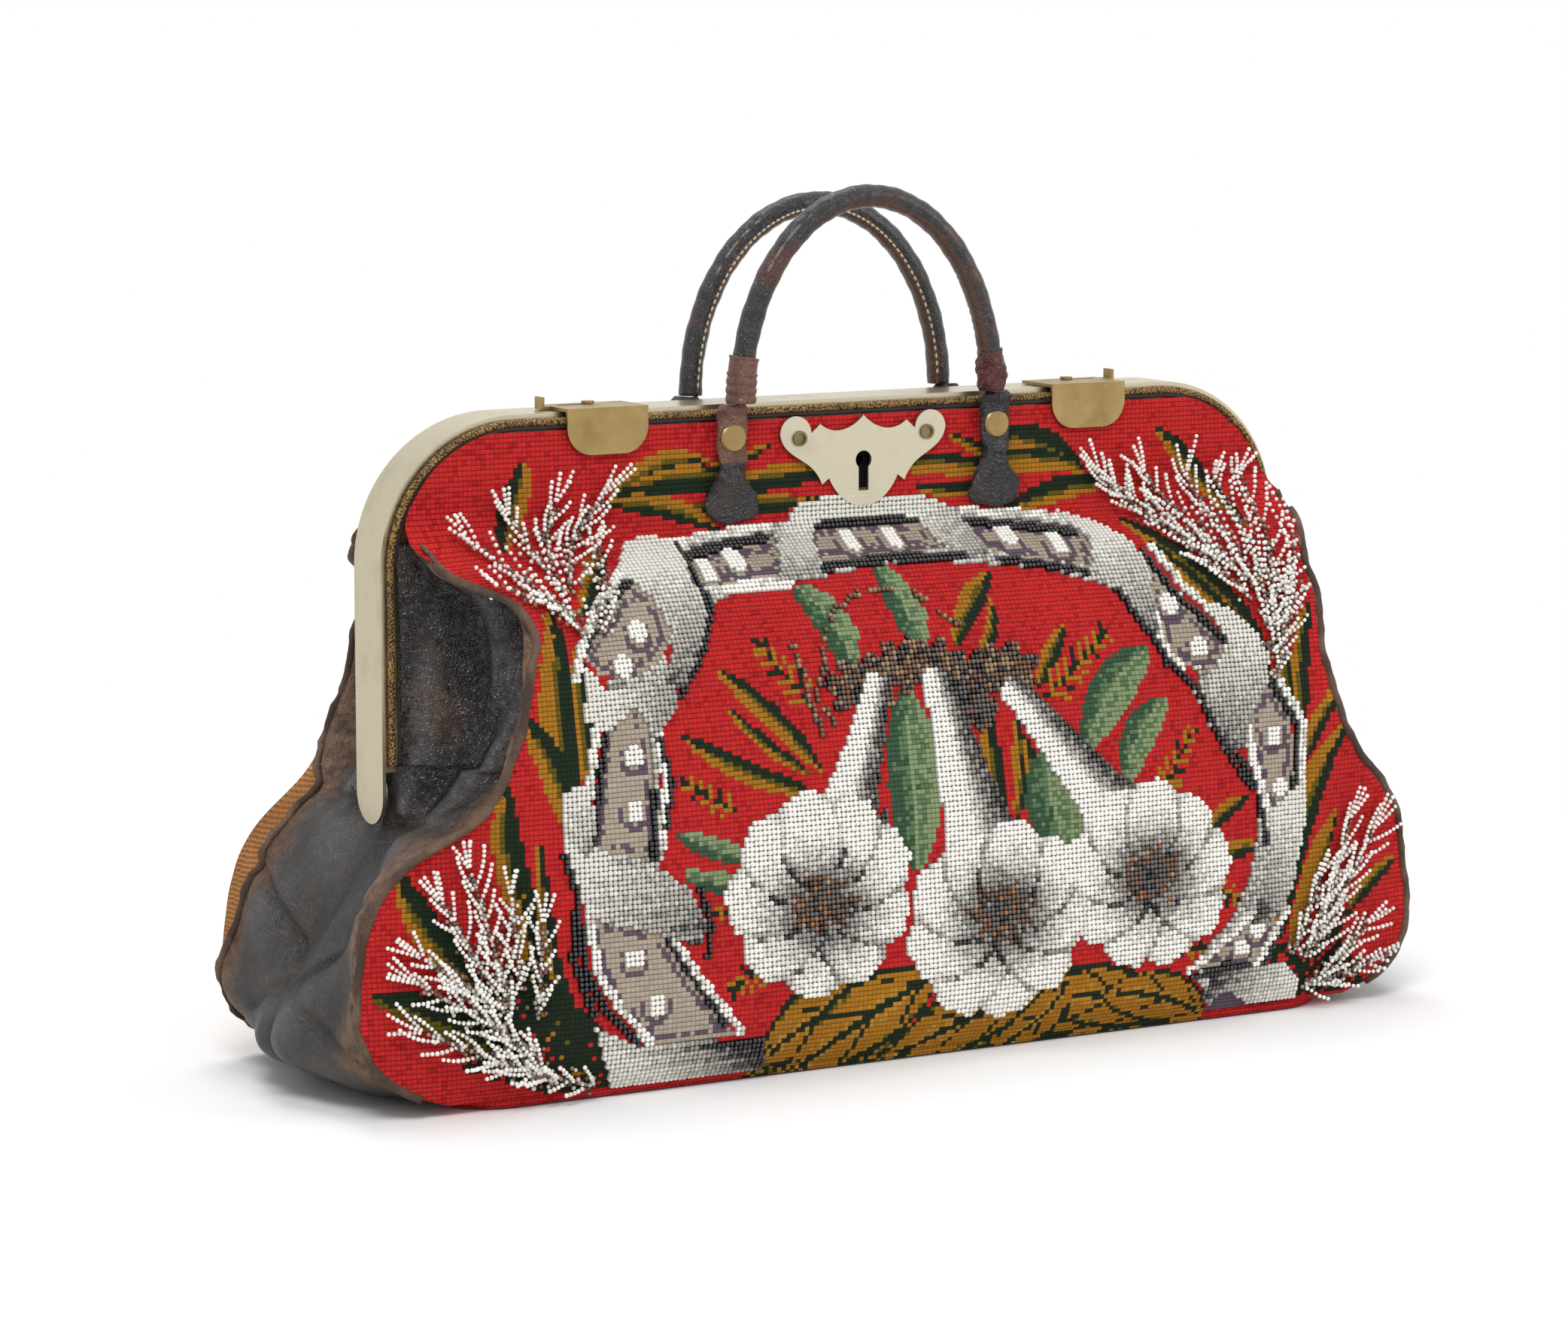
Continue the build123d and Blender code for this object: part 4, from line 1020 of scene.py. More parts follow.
# %% Make the front canvas
thinnest = 0.0004
lock_x, keyhole_z, lock_z = 0.004, 0.2325, 0.2345
front, corners = panel_grid("front_panel", -1, stitch_pitch * MM)
front_rows, front_columns = corners.shape[0] - 1, corners.shape[1] - 1
middle = (corners[:-1, :-1] + corners[1:, :-1] + corners[:-1, 1:] + corners[1:, 1:]) / 4
cell_width = corners[:-1, 1:, 0] - corners[:-1, :-1, 0]
upper_width = corners[1:, 1:, 0] - corners[1:, :-1, 0]
whole = (cell_width > thinnest) | (upper_width > thinnest)
keyhole = (np.abs(middle[..., 0] - lock_x) < 0.0046) & (np.abs(middle[..., 2] - keyhole_z) < 0.0085)
whole &= ~keyhole
canvas = Canvas(middle[..., 0].ravel() * 1000, middle[..., 2].ravel() * 1000)
paint_pattern(canvas)
print("stitches", front_columns, "x", front_rows, "beads", int(canvas.bead[whole.ravel()].sum()))


# %% [markdown]
# A colour is kept on every corner of a stitch, so that each one has a single clean colour, a little
# lighter or darker than its neighbours. Squares that the row's ends have squeezed to nothing are
# deleted.

# %% Colour and cushion the stitches
def store_colours(obj, name, values):
    """Gives every face one colour, kept on its corners."""
    attribute = obj.data.color_attributes.new(name, "FLOAT_COLOR", "CORNER")
    counts = np.array([p.loop_total for p in obj.data.polygons])
    attribute.data.foreach_set("color", np.repeat(values, counts, axis=0).astype(np.float32).ravel())


def stitch_cells(obj, columns, rows):
    """UV coordinates that count stitches across and up."""
    layer = obj.data.uv_layers[0]
    layer.name = "stitches"
    values = np.empty(len(layer.data) * 2)
    layer.data.foreach_get("uv", values)
    values = values.reshape(-1, 2) * (columns, rows)
    layer.data.foreach_set("uv", values.ravel())


def delete_cells(obj, keep):
    """Deletes the faces that aren't marked, and the points that they leave."""
    edit(obj, lambda: bpy.ops.mesh.select_mode(type="FACE"),
         lambda: bpy.ops.mesh.select_all(action="DESELECT"))
    obj.data.polygons.foreach_set("select", ~keep)
    bpy.ops.object.mode_set(mode="EDIT")
    bpy.ops.mesh.delete(type="FACE")
    bpy.ops.object.mode_set(mode="OBJECT")


def bend_with(obj):
    """Moves the object's place and turn into its mesh."""
    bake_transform(obj)
    return obj


unevenness = 1 + 0.16 * (np.random.default_rng(3).random(len(canvas.colour)) - 0.5)
stitch_shade = np.stack([unevenness] * 3 + [np.ones_like(unevenness)], axis=1)
stitch_cells(front, front_columns, front_rows)
store_colours(front, "stitch_colour", canvas.colour * stitch_shade)
delete_cells(front, whole.ravel())
face_along(front, (0, -1, 0))
edit(front, lambda: bpy.ops.mesh.remove_doubles(threshold=0.00002),
     lambda: bpy.ops.mesh.poke(offset=0.00042), smooth)
name_piece(front, "embroidered_front", None, wool)
bend_with(front)
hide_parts("front_panel")
print("front", len(front.data.polygons), "faces")

# %% [markdown]
# ## Beads
# A bead is modelled once, as a small ball of a few dozen faces, and its points are repeated at
# every beaded stitch. The beads stand on the canvas along its normal.


# %% One shape at many places
def repeated(name, shape, faces, places):
    """One mesh with the same small shape at many places."""
    points = (places[:, None, :] + shape).reshape(-1, 3)
    count = shape.shape[-2]
    data = bpy.data.meshes.new(name)
    data.from_pydata(points.tolist(), [], [tuple(v + count * k for v in face)
                                           for k in range(len(places)) for face in faces])
    obj = bpy.data.objects.new(name, data)
    bpy.context.scene.collection.objects.link(obj)
    data.polygons.foreach_set("use_smooth", [True] * len(data.polygons))
    return obj


def ball(radius):
    """The points and faces of a small ball."""
    bpy.ops.mesh.primitive_uv_sphere_add(segments=6, ring_count=4, radius=radius)
    made = bpy.context.object
    points, faces = points_of(made), [tuple(p.vertices) for p in made.data.polygons]
    bpy.data.objects.remove(made)
    return points, faces


def bead_field(name, places, colours, radius, sizes):
    """Beads at the given places, each with its own colour and size."""
    points, faces = ball(radius)
    obj = repeated(name, points[None, :, :] * sizes[:, None, None], faces, places)
    store_colours(obj, "bead_colour", np.repeat(colours, len(faces), axis=0))
    name_piece(obj, name, None, beads_finish)
    return bend_with(obj)


# %% Beads of the pattern
pattern_bead, spray_bead = 0.00112, 0.00092  # radii
whole_width, bead_lift, lowest_bead = 0.0016, 0.0008, 0.004
across = middle[1:-1, 2:] - middle[1:-1, :-2]
upward = middle[2:, 1:-1] - middle[:-2, 1:-1]
normal = np.zeros_like(middle)
normal[1:-1, 1:-1] = np.cross(across, upward)
normal[0], normal[-1] = normal[1], normal[-2]
length = np.linalg.norm(normal, axis=2, keepdims=True)
normal = np.where(length > 0, normal / np.maximum(length, 1e-12), (0.0, -1.0, 0.0))
normal[normal[..., 1] > 0] *= -1
bead_places = (middle + normal * bead_lift).reshape(-1, 3)
full = (cell_width > whole_width) & (upper_width > whole_width) & (middle[..., 2] > lowest_bead)
chosen = np.flatnonzero(canvas.bead & full.ravel())
bead_dice = np.random.default_rng(5)
half = len(chosen) // 2
for name, part in (("garland_beads_low", chosen[:half]), ("garland_beads_high", chosen[half:])):
    shift = (bead_dice.random((len(part), 3)) - 0.5) * (0.00022, 0.0002, 0.00022)
    bead_field(name, bead_places[part] + shift, canvas.colour[part], pattern_bead,
               0.95 + 0.1 * bead_dice.random(len(part)))
    print(name, len(part), "beads")

# %% [markdown]
# ## Bead sprays
# Ears of grass are worked as short strings of beads that hang free of the canvas. They leave a
# stem left and right in turn, lean along it, and rise off the cloth towards their tips.


# %% Strings of beads
steepest = 0.45  # cloth that turns further away than this carries no beads


def on_cloth(x, z, height):
    """A point at some height over the front canvas, or None past its edge."""
    start = Vector((x * MM, -ray_start, z * MM))
    hit, slope = front_tree.ray_cast(start, Vector((0, 1, 0)), ray_length)[:2]
    if hit is None or abs(slope.y) < steepest:
        return None
    return hit + (slope if slope.y < 0 else -slope) * height * MM


spray_dice = np.random.default_rng(11)
bead_step = 2.05
spray_points, spray_colours, spray_sizes = [], [], []
bronze = linear(140, 108, 66)


def throw(spread):
    """A random number either side of nothing."""
    return spread * 2 * (spray_dice.random() - 0.5)


def string_of_beads(x, z, angle, count, rise, curl, shades):
    """One free string: its beads climb away from the cloth and bend a little."""
    for k in range(count):
        angle += curl
        x, z = x + bead_step * math.cos(angle), z + bead_step * math.sin(angle)
        place = on_cloth(x, z, 1.5 + rise * ((k + 1) / count) ** 0.7)
        if place is None:
            return
        spray_points.append(place)
        spray_colours.append(shades[int(spray_dice.random() * len(shades))])
        spray_sizes.append(0.9 + 0.2 * spray_dice.random())


# %% Grow an ear
def ear(base, tip, reach):
    """A stem with strings on both sides and a tuft at its tip."""
    gap = 4.2
    (x0, z0), (x1, z1) = base, tip
    length = math.hypot(x1 - x0, z1 - z0) - 1.2 * reach
    heading = math.atan2(z1 - z0, x1 - x0)
    ux, uz = math.cos(heading), math.sin(heading)
    string_of_beads(x0, z0, heading, int(length / bead_step), 1.6, 0.0,
                    [umber, grey, silver, umber, pearl])
    for k in range(int(length * 0.7)):
        run, off = length * 0.75 * spray_dice.random(), throw(4.0)
        px, pz = x0 + run * ux - off * uz, z0 + run * uz + off * ux
        string_of_beads(px, pz, heading + throw(0.8), 1, 0.6, 0.0,
                        [umber, umber, grey, bronze, silver, pearl, slate])
    for k in range(max(int(length / gap), 1)):
        run = (k + 0.5) * gap + throw(1.4)
        side = 1 if k % 2 else -1
        px, pz = x0 + run * ux + throw(0.8), z0 + run * uz + throw(0.8)
        count = int(reach * (0.8 + 0.35 * spray_dice.random()))
        lean = side * (0.62 + throw(0.2))
        string_of_beads(px, pz, heading + lean, count, 3.2 + 2.2 * spray_dice.random(),
                        -side * (0.05 + throw(0.03)), [white, white, white, pearl])
        string_of_beads(px, pz, heading - 0.5 * lean, 2, 1.0, 0.0, [umber, slate, grey, pearl])
    for lean in (-0.26, 0.02, 0.3):
        string_of_beads(x0 + length * ux, z0 + length * uz, heading + lean + throw(0.1),
                        int(reach * (0.75 + 0.4 * spray_dice.random())), 4.2, throw(0.04),
                        [white, white, white, pearl])


# %% Place the ears
ears = [  # foot, tip and length of the strings
    ((-143, 178), (-184, 218), 7), ((-147, 190), (-160, 230), 7), ((-146, 194), (-110, 236), 8),
    ((-148, 200), (-134, 234), 7), ((-146, 186), (-184, 200), 6), ((-140, 176), (-118, 214), 6),
    ((172, 150), (190, 228), 8), ((170, 176), (160, 230), 8), ((168, 172), (112, 232), 8),
    ((164, 184), (136, 232), 8), ((178, 156), (198, 206), 7), ((168, 180), (120, 226), 7),
    ((174, 140), (184, 184), 6), ((172, 160), (176, 226), 7),
    ((-186, 40), (-204, 104), 8), ((-190, 40), (-228, 68), 7), ((-182, 46), (-186, 92), 7),
    ((-176, 34), (-172, 80), 7), ((-186, 36), (-218, 92), 8), ((-164, 8), (-230, 38), 8),
    ((-172, 12), (-212, 54), 7), ((-148, 6), (-198, 22), 6), ((-174, 20), (-230, 58), 7),
    ((190, 26), (230, 80), 8), ((192, 28), (214, 86), 7), ((184, 20), (206, 66), 6),
    ((184, 10), (240, 20), 7), ((188, 10), (226, 38), 7), ((178, 24), (196, 62), 6)]
for base, tip, reach in ears:
    ear(base, tip, reach)
bead_field("bead_sprays", np.array(spray_points), np.array(spray_colours), spray_bead,
           np.array(spray_sizes))
print("spray beads", len(spray_points))

# %% [markdown]
# ## The rear panel and the lining
# The back is plain tan cloth with a strong horizontal rib, woven and not stitched. It is pressed
# onto the rear panel in the same way. Behind both panels hangs a plain linen lining, which is
# left open behind the keyhole.

# %% Rear cloth finish
ribbed, tree, shader, where = blank("ribbed_cloth", 0.9)
split = tree.add("ShaderNodeSeparateXYZ", {"Vector": where})
rib = tree.math("SINE", tree.math("MULTIPLY", split.outputs[2], 3400.0))
weave = tree.math("SINE", tree.math("MULTIPLY", split.outputs[0], 5200.0))
patch = tree.noise(where, 26.0, 6.0)
tan = tree.mix(tree.span(patch, 0.35, 0.65), linear(190, 136, 84), linear(162, 110, 64))
tan = tree.mix(tree.span(rib, -1.0, 0.2, 0.55, 0.0), tan, linear(96, 58, 30))
tree.feed(shader.inputs["Base Color"], tan)
shader.inputs["Specular IOR Level"].default_value = 0.15
relief(tree, shader, tree.math("ADD", rib, tree.math("MULTIPLY", weave, 0.4)), 0.0004)
lining_finish = plain_material("brown_linen", linear(150, 124, 96), 0.9)

# %% Make the rear cloth and the linings
rear_pitch, lining_pitch, lining_inset, lining_depth = 0.003, 0.006, 0.012, 0.0034
rear = panel_grid("rear_panel", 1, rear_pitch)[0]
name_piece(rear, "ribbed_back", None, ribbed)
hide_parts("rear_panel")
front_lining, spots = panel_grid("front_panel", -1, lining_pitch, lining_inset, lining_depth, False)
spots = (spots[:-1, :-1] + spots[1:, 1:]) / 2
behind_lock = (np.abs(spots[..., 0] - lock_x) < 0.010) & (np.abs(spots[..., 2] - lock_z) < 0.011)
delete_cells(front_lining, ~behind_lock.ravel())
rear_lining = panel_grid("rear_panel", 1, lining_pitch, lining_inset, lining_depth, False)[0]
for sheet, face, way in ((rear, 1, 1), (front_lining, -1, 1), (rear_lining, 1, -1)):
    edit(sheet, lambda: bpy.ops.mesh.remove_doubles(threshold=0.00005),
         lambda: bpy.ops.mesh.dissolve_degenerate(threshold=0.00005), smooth)
    face_along(sheet, (0, way, 0))
name_piece(front_lining, "front_lining", None, lining_finish)
name_piece(rear_lining, "rear_lining", None, lining_finish)
for sheet, face in ((rear, 1), (front_lining, -1), (rear_lining, 1)):
    bend_with(sheet)
    print(sheet.name, len(sheet.data.polygons), "faces")

# %% [markdown]
# ## The gussets
# Each end of the bag is a wide strip of leather. Below the hinge it bulges, and above it folds
# inwards between the frame's legs and the seams. Every strip is made in a front and a rear half,
# because the two jaws pull them apart when the bag opens. The leather is worn brown along its
# seams, so how near a point is to the seam is kept with the mesh. So is the height of its folds,
# which the finish uses to paint highlights on the ridges and shade in the hollows.

# %% Gusset finish
gusset_leather, tree, shader, where = blank("gusset_leather", 0.5)
# Its channels: nearness to the seam, the upper part, and the fold height that steers the painted
# highlights and shade
wear = tree.add("ShaderNodeAttribute", attribute_name="wear").outputs["Color"]
marks = tree.add("ShaderNodeSeparateColor", {"Color": wear})
seam_near, upper_part, ridge = marks.outputs[0], marks.outputs[1], marks.outputs[2]
grain = group_node(tree, grain_group, Vector=where, Scale=820.0, Crease=0.9)
broad = tree.noise(where, 34.0, 7.0, 0.6)
fine = tree.noise(where, 160.0, 5.0, 0.6)
rubbed = tree.math("ADD", tree.math("MULTIPLY", seam_near, 1.25), tree.math("MULTIPLY", broad, 1.3))
rubbed = tree.span(tree.math("ADD", rubbed, tree.math("MULTIPLY", fine, 0.7)), 1.08, 1.6)
tone = tree.mix(upper_part, linear(50, 47, 45), linear(26, 20, 18))
tone = tree.mix(tree.span(fine, 0.35, 0.7, 0.0, 0.35), tone, linear(28, 25, 25))
# Painted highlight: the fold ridges are lightened in patches
painted_ridge_highlight = tree.math("MULTIPLY", tree.span(ridge, 0.55, 1.0), tree.span(fine, 0.3, 0.6, 0.35, 1.0))
tone = tree.mix(tree.math("MULTIPLY", painted_ridge_highlight, 0.75), tone, linear(88, 86, 86))
# Painted shade: the fold hollows are darkened
tone = tree.mix(tree.span(ridge, 0.0, 0.35, 0.75, 0.0), tone, linear(16, 14, 14))
brown = tree.mix(tree.span(fine, 0.35, 0.65), linear(128, 98, 74), linear(70, 52, 42))
tree.feed(shader.inputs["Base Color"], tree.mix(rubbed, tone, brown))
rough = tree.span(upper_part, 0.0, 1.0, 0.40, 0.24)
rough = tree.math("ADD", rough, tree.math("MULTIPLY", rubbed, 0.2))
rough = tree.math("ADD", rough, tree.math("MULTIPLY", grain["Pores"], 0.1))
tree.feed(shader.inputs["Roughness"], rough)
buckles = tree.math("MULTIPLY", tree.noise(tree.place(where, (1.0, 1.0, 0.6)), 75.0, 4.0, 0.55), 2.4)
relief(tree, shader, tree.math("ADD", grain["Height"], buckles), 0.0005)

# %% Press the leather on the gussets
leg_gap, closed_height, crease_height = 0.0126, 0.128, 0.106
wrap_width = 0.2
gusset_rows, gusset_columns = 150, 64
gusset_wall, fold_depth, fold_back, sag_depth = 0.0016, 0.0066, 0.0040, 0.009


def wrap_share(z):
    """How much of the gusset's rear half the tan cloth covers at a height."""
    return wrap_width * np.clip(1 - ((z - 0.078) / 0.046) ** 2, 0, 1) ** 0.7


def gusset_row(tree, side, face, z):
    """Even places across one half of a gusset at a height, from its middle to the seam."""
    inner = leg_gap if z > closed_height else 0.0
    seam_x, seam_y = seam_at(face, side, z)
    found = []
    for y in np.arange(inner, 0.068, 0.0005):
        start = Vector((side * ray_start, face * y, z))
        hit = tree.ray_cast(start, Vector((-side, 0, 0)), ray_length)[0]
        if hit is not None and y < abs(seam_y) - 0.001:
            found.append((y, hit.x))
    found = np.array(found + [(abs(seam_y), seam_x)])
    ys = np.linspace(inner, found[-1, 0], gusset_columns + 1)
    xs = np.interp(ys, found[:, 0], found[:, 1])
    return np.stack([xs, face * ys, np.full(gusset_columns + 1, z)], axis=1)


def gusset_folds(z, face):
    """How far the leather stands out from its wall, and what the finish has to know of it."""
    share = np.linspace(0, 1, gusset_columns + 1)[None, :]
    fade = np.clip(share * 7, 0, 1) * np.clip((1 - share) * 6, 0, 1)
    upper = 1 / (1 + np.exp(-(z - crease_height) / 0.003))
    folds = fold_depth * np.abs(np.sin(share * 7.4 + (z - 0.1) * 14 + 0.2)) ** 1.4 - fold_back
    folds += 0.0012 * np.sin(share * 27 - z * 60 + 1.0)
    sag = 0.0028 * np.sin(z * 58 + share * 5 + face) + 0.0013 * np.sin(z * 120 - share * 10)
    sag -= 0.0030 * np.exp(-((z - 0.066 - 0.05 * (share - 0.5)) / 0.0028) ** 2)
    sag -= 0.0022 * np.exp(-((z - 0.036 + 0.03 * (share - 0.3)) / 0.0030) ** 2)
    groove = -0.0042 * np.exp(-((z - crease_height - 0.006 * (share - 0.4)) / 0.0026) ** 2)
    wear = np.ones((*z.shape, 4), np.float32)
    wear[..., 0] = np.clip((share - 0.6) / 0.4, 0, 1) ** 1.2
    wear[..., 1] = upper
    # The third channel is the fold height, for the painted highlights on the ridges and painted shade in
    # the hollows
    height = upper * (folds + fold_back) / fold_depth
    height = height + (1 - upper) * np.clip(0.5 + sag / sag_depth, 0, 1)
    wear[..., 2] = np.clip(height, 0, 1) * fade
    return fade * (upper * folds + (1 - upper) * sag + groove), wear


print("gusset grid", gusset_columns, "x", gusset_rows)


# %% Gusset halves
def gusset_half(node, side, face, name):
    """One half of a gusset, middle to seam, with soft folds and a real thickness."""
    tree = surface(node)
    low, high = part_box(node)
    heights = np.linspace(low[2] + 0.0005, high[2] - 0.0008, gusset_rows + 1)
    places = np.array([gusset_row(tree, side, face, z) for z in heights])
    out, wear = gusset_folds(places[:, :, 2], face)
    places[:, :, 0] += side * out
    grid = grid_of(places)
    marked = grid.data.color_attributes.new("wear", "FLOAT_COLOR", "POINT")
    marked.data.foreach_set("color", wear.ravel())
    edit(grid, smooth)
    face_along(grid, (side, 0, 0))
    name_piece(grid, name, None, gusset_leather)
    if face > 0:
        grid.data.materials.append(ribbed)
        for k, polygon in enumerate(grid.data.polygons):
            row, column = divmod(k, gusset_columns)
            covered = 1 - (column + 0.5) / gusset_columns < wrap_share(heights[row])
            polygon.material_index = 1 if covered else 0
    wall = grid.modifiers.new("wall", "SOLIDIFY")
    wall.thickness = gusset_wall
    wall.offset = -1
    apply_modifiers(grid)
    bend_with(grid)
    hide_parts(node)
    print(name, len(grid.data.polygons), "faces")
    return places


gusset_places = {}
for side, node in ((-1, "gusset_left"), (1, "gusset_right")):
    for face, end in ((-1, "_front"), (1, "_rear")):
        gusset_places[(side, face)] = gusset_half(node, side, face, node + end)

# %% [markdown]
# ## Piping, cord and rolled leather
# Round things are tubes drawn along a row of points. A ring of points is turned to face along the
# route at each step, and the rings are joined into faces.


# %% Tubes along a route
depthwise = np.array((0.0, 1.0, 0.0))


def from_rings(name, rings):
    """Joins rings of points into a closed skin, with UV that counts round and along."""
    rings = np.asarray(rings, float)
    count, sides = rings.shape[:2]
    faces, spots = [], []
    for k in range(count - 1):
        for s in range(sides):
            a, b = k * sides + s, k * sides + (s + 1) % sides
            faces.append((a, b, b + sides, a + sides))
            spots += [(s / sides, k), ((s + 1) / sides, k), ((s + 1) / sides, k + 1), (s / sides, k + 1)]
    for end in (range(sides)[::-1], range((count - 1) * sides, count * sides)):
        faces.append(tuple(end))
        spots += [(0.0, 0.0)] * sides
    data = bpy.data.meshes.new(name)
    data.from_pydata(rings.reshape(-1, 3).tolist(), [], faces)
    data.uv_layers.new(name="round_and_along").data.foreach_set("uv", np.array(spots).ravel())
    obj = bpy.data.objects.new(name, data)
    bpy.context.scene.collection.objects.link(obj)
    edit(obj, outward, smooth)
    return obj


def tube(name, route, radii, sides):
    """A tube along a route, with a radius at each point."""
    way = unit(np.gradient(route, axis=0))
    first = unit(np.cross(way, depthwise))
    second = np.cross(first, way)
    angles = np.linspace(0, 2 * math.pi, sides, endpoint=False)
    radii = np.broadcast_to(np.asarray(radii, float), (len(route),))
    ring = (np.cos(angles)[None, :, None] * first[:, None, :]
            + np.sin(angles)[None, :, None] * second[:, None, :])
    return from_rings(name, route[:, None, :] + radii[:, None, None] * ring)


# %% Seam piping
piping_radius, proud = 0.00165, 0.0006
for node, line in seams.items():
    face, side = (-1 if "front" in node else 1), (-1 if "left" in node else 1)
    line = line[2:-3 if face < 0 else -8].copy()
    if face > 0:
        places = gusset_places[(side, face)]
        columns = places.shape[1] - 1
        for spot in line:
            z = spot[2]
            row = places[np.argmin(np.abs(places[:, 0, 2] - z))]
            at = (1 - wrap_share(z)) * columns
            spot[:2] = [np.interp(at, np.arange(columns + 1), row[:, axis]) for axis in range(2)]
            spot[0] += side * proud * min(wrap_share(z) / 0.05, 1)
    step = np.arange(len(line))
    line[:, 0] += 0.00028 * np.sin(step * 0.9) + 0.0003 * np.sin(step * 0.37 + side)
    radii = piping_radius + 0.00022 * np.sin(step * 1.7) * np.sin(step * 0.31)
    welt = tube(node + "_piping", line, radii, 12)
    name_piece(welt, node + "_piping", None, piping_leather)
    bend_with(welt)
    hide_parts(node)
print("piping done")

# %% Gold braid
braid_finish, tree, shader, where = blank("gold_braid", 0.42)
specks = tree.add("ShaderNodeTexVoronoi", {"Vector": where, "Scale": 900.0})
glint = tree.span(specks.outputs["Distance"], 0.15, 0.75)
gold = tree.mix(glint, linear(196, 154, 84), linear(58, 40, 22))
gold = tree.mix(tree.span(tree.noise(where, 70.0, 4.0), 0.45, 0.7, 0.0, 0.6), gold, linear(52, 38, 24))
tree.feed(shader.inputs["Base Color"], gold)
shader.inputs["Metallic"].default_value = 0.3
relief(tree, shader, tree.math("SUBTRACT", 1.0, glint), 0.0005)


def arch(half, top, corner, foot, depth, steps):
    """A line up one leg, round both corners and down the other, with even steps."""
    points = [(-half, depth, foot)]
    for middle_x, start in ((-half + corner, 180), (half - corner, 90)):
        for k in range(25):
            turn = math.radians(start - 90 * k / 24)
            points.append((middle_x + corner * math.cos(turn), depth,
                           top - corner + corner * math.sin(turn)))
    points.append((half, depth, foot))
    points = np.array(points)
    run = np.concatenate([[0], np.cumsum(np.linalg.norm(np.diff(points, axis=0), axis=1))])
    even = np.linspace(0, run[-1], steps)
    return np.stack([np.interp(even, run, points[:, k]) for k in range(3)], axis=1), run[-1]


strands, lay = 3, 0.0048
# Painted shadow: a dark tube laid just inside and behind the gold braid, along its inner edge
shadow_line_in, shadow_line_foot, shadow_line_radius = 0.0021, 0.2145, 0.00115
dark_tape = plain_material("dark_tape", linear(40, 26, 22), 0.8)
for node, body, steps in (("front_braid", "front_jaw", 900), ("rear_braid", "rear_jaw", 600)):
    low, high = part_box(node)
    cord = (high[1] - low[1]) / 2
    half, top, depth = high[0] - cord, high[2] - cord, (low[1] + high[1]) / 2
    corner = frame_corner - frame_half + half
    line, length = arch(half, top, corner, low[2], depth, steps)
    sideways = np.cross(unit(np.gradient(line, axis=0)), depthwise)
    for strand in range(strands):
        angle = 2 * math.pi * (np.linspace(0, length / lay, steps) + strand / strands)
        offset = np.cos(angle)[:, None] * depthwise + np.sin(angle)[:, None] * sideways
        offset = 0.5 * cord * offset
        piece = tube(f"{node}_strand_{strand}", line + offset, 0.5 * cord, 6)
        name_piece(piece, f"{node}_strand_{strand}", body, braid_finish)
        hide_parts(node)
    # The dark tube that paints the shadow under the braid
    braid_shadow_line = arch(half - shadow_line_in, top - shadow_line_in, corner - shadow_line_in, shadow_line_foot, depth * 0.97, 300)[0]
    piece = tube(node + "_binding", braid_shadow_line, shadow_line_radius, 8)
    name_piece(piece, node + "_binding", body, dark_tape)
print("braid laid")

# %% [markdown]
# ## Handles
# Each handle is leather rolled round a core, so it is a tube along half an ellipse. Its closing
# seam is a low ridge with a row of pale stitches, on the side that faces the other handle at the
# front one, and towards the front at the rear one. Inside the seam the leather has rubbed brown.

# %% Handle finish
handle_middle, handle_half, handle_rise = 0.004, 0.059, 0.080
handle_foot, handle_radius = 0.2628, 0.0048
thread = plain_material("linen_thread", linear(196, 176, 146), 0.7)
rolled_leather, tree, shader, where = blank("rolled_leather", 0.3)
around = tree.add("ShaderNodeUVMap", uv_map="round_and_along").outputs[0]
turned = tree.add("ShaderNodeSeparateXYZ", {"Vector": around})
grain = group_node(tree, grain_group, Vector=where, Scale=760.0, Crease=0.8)
rubbed = group_node(tree, wear_group, Vector=where, Scale=42.0, Amount=0.44, Sharpness=9.0)
inner_side = tree.math("COMPARE", turned.outputs[0], 0.5, third=0.17)
fine, broad = tree.noise(where, 240.0, 4.0), tree.noise(where, 90.0, 4.0)
tone = tree.mix(tree.span(fine, 0.35, 0.65), linear(22, 22, 24), linear(40, 38, 39))
worn_tone = tree.mix(tree.span(broad, 0.4, 0.6), linear(72, 42, 30), linear(84, 38, 28))
tone = tree.mix(tree.math("MULTIPLY", rubbed["Mask"], 0.75), tone, worn_tone)
tone = tree.mix(tree.math("MULTIPLY", inner_side, 0.7), tone, linear(82, 48, 26))
tree.feed(shader.inputs["Base Color"], tone)
shader.inputs["Specular IOR Level"].default_value = 0.35
shader.inputs["Coat Weight"].default_value = 0.3
shader.inputs["Coat Roughness"].default_value = 0.12
rough = tree.math("ADD", tree.math("MULTIPLY", grain["Pores"], 0.16), 0.22)
tree.feed(shader.inputs["Roughness"], rough)
relief(tree, shader, grain["Height"], 0.00045)


# %% Handle arches
def bend_at_foot(obj):
    """Moves the object's place and turn into its mesh."""
    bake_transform(obj)


def handle_line(depth, count, end, rise=handle_rise):
    """A row of points along a handle's arch, and how far round it each one is."""
    turn = np.linspace(0, end, count)
    return turn, np.stack([handle_middle - handle_half * np.cos(turn), np.full(count, depth),
                           handle_foot + rise * np.sin(turn)], axis=1)


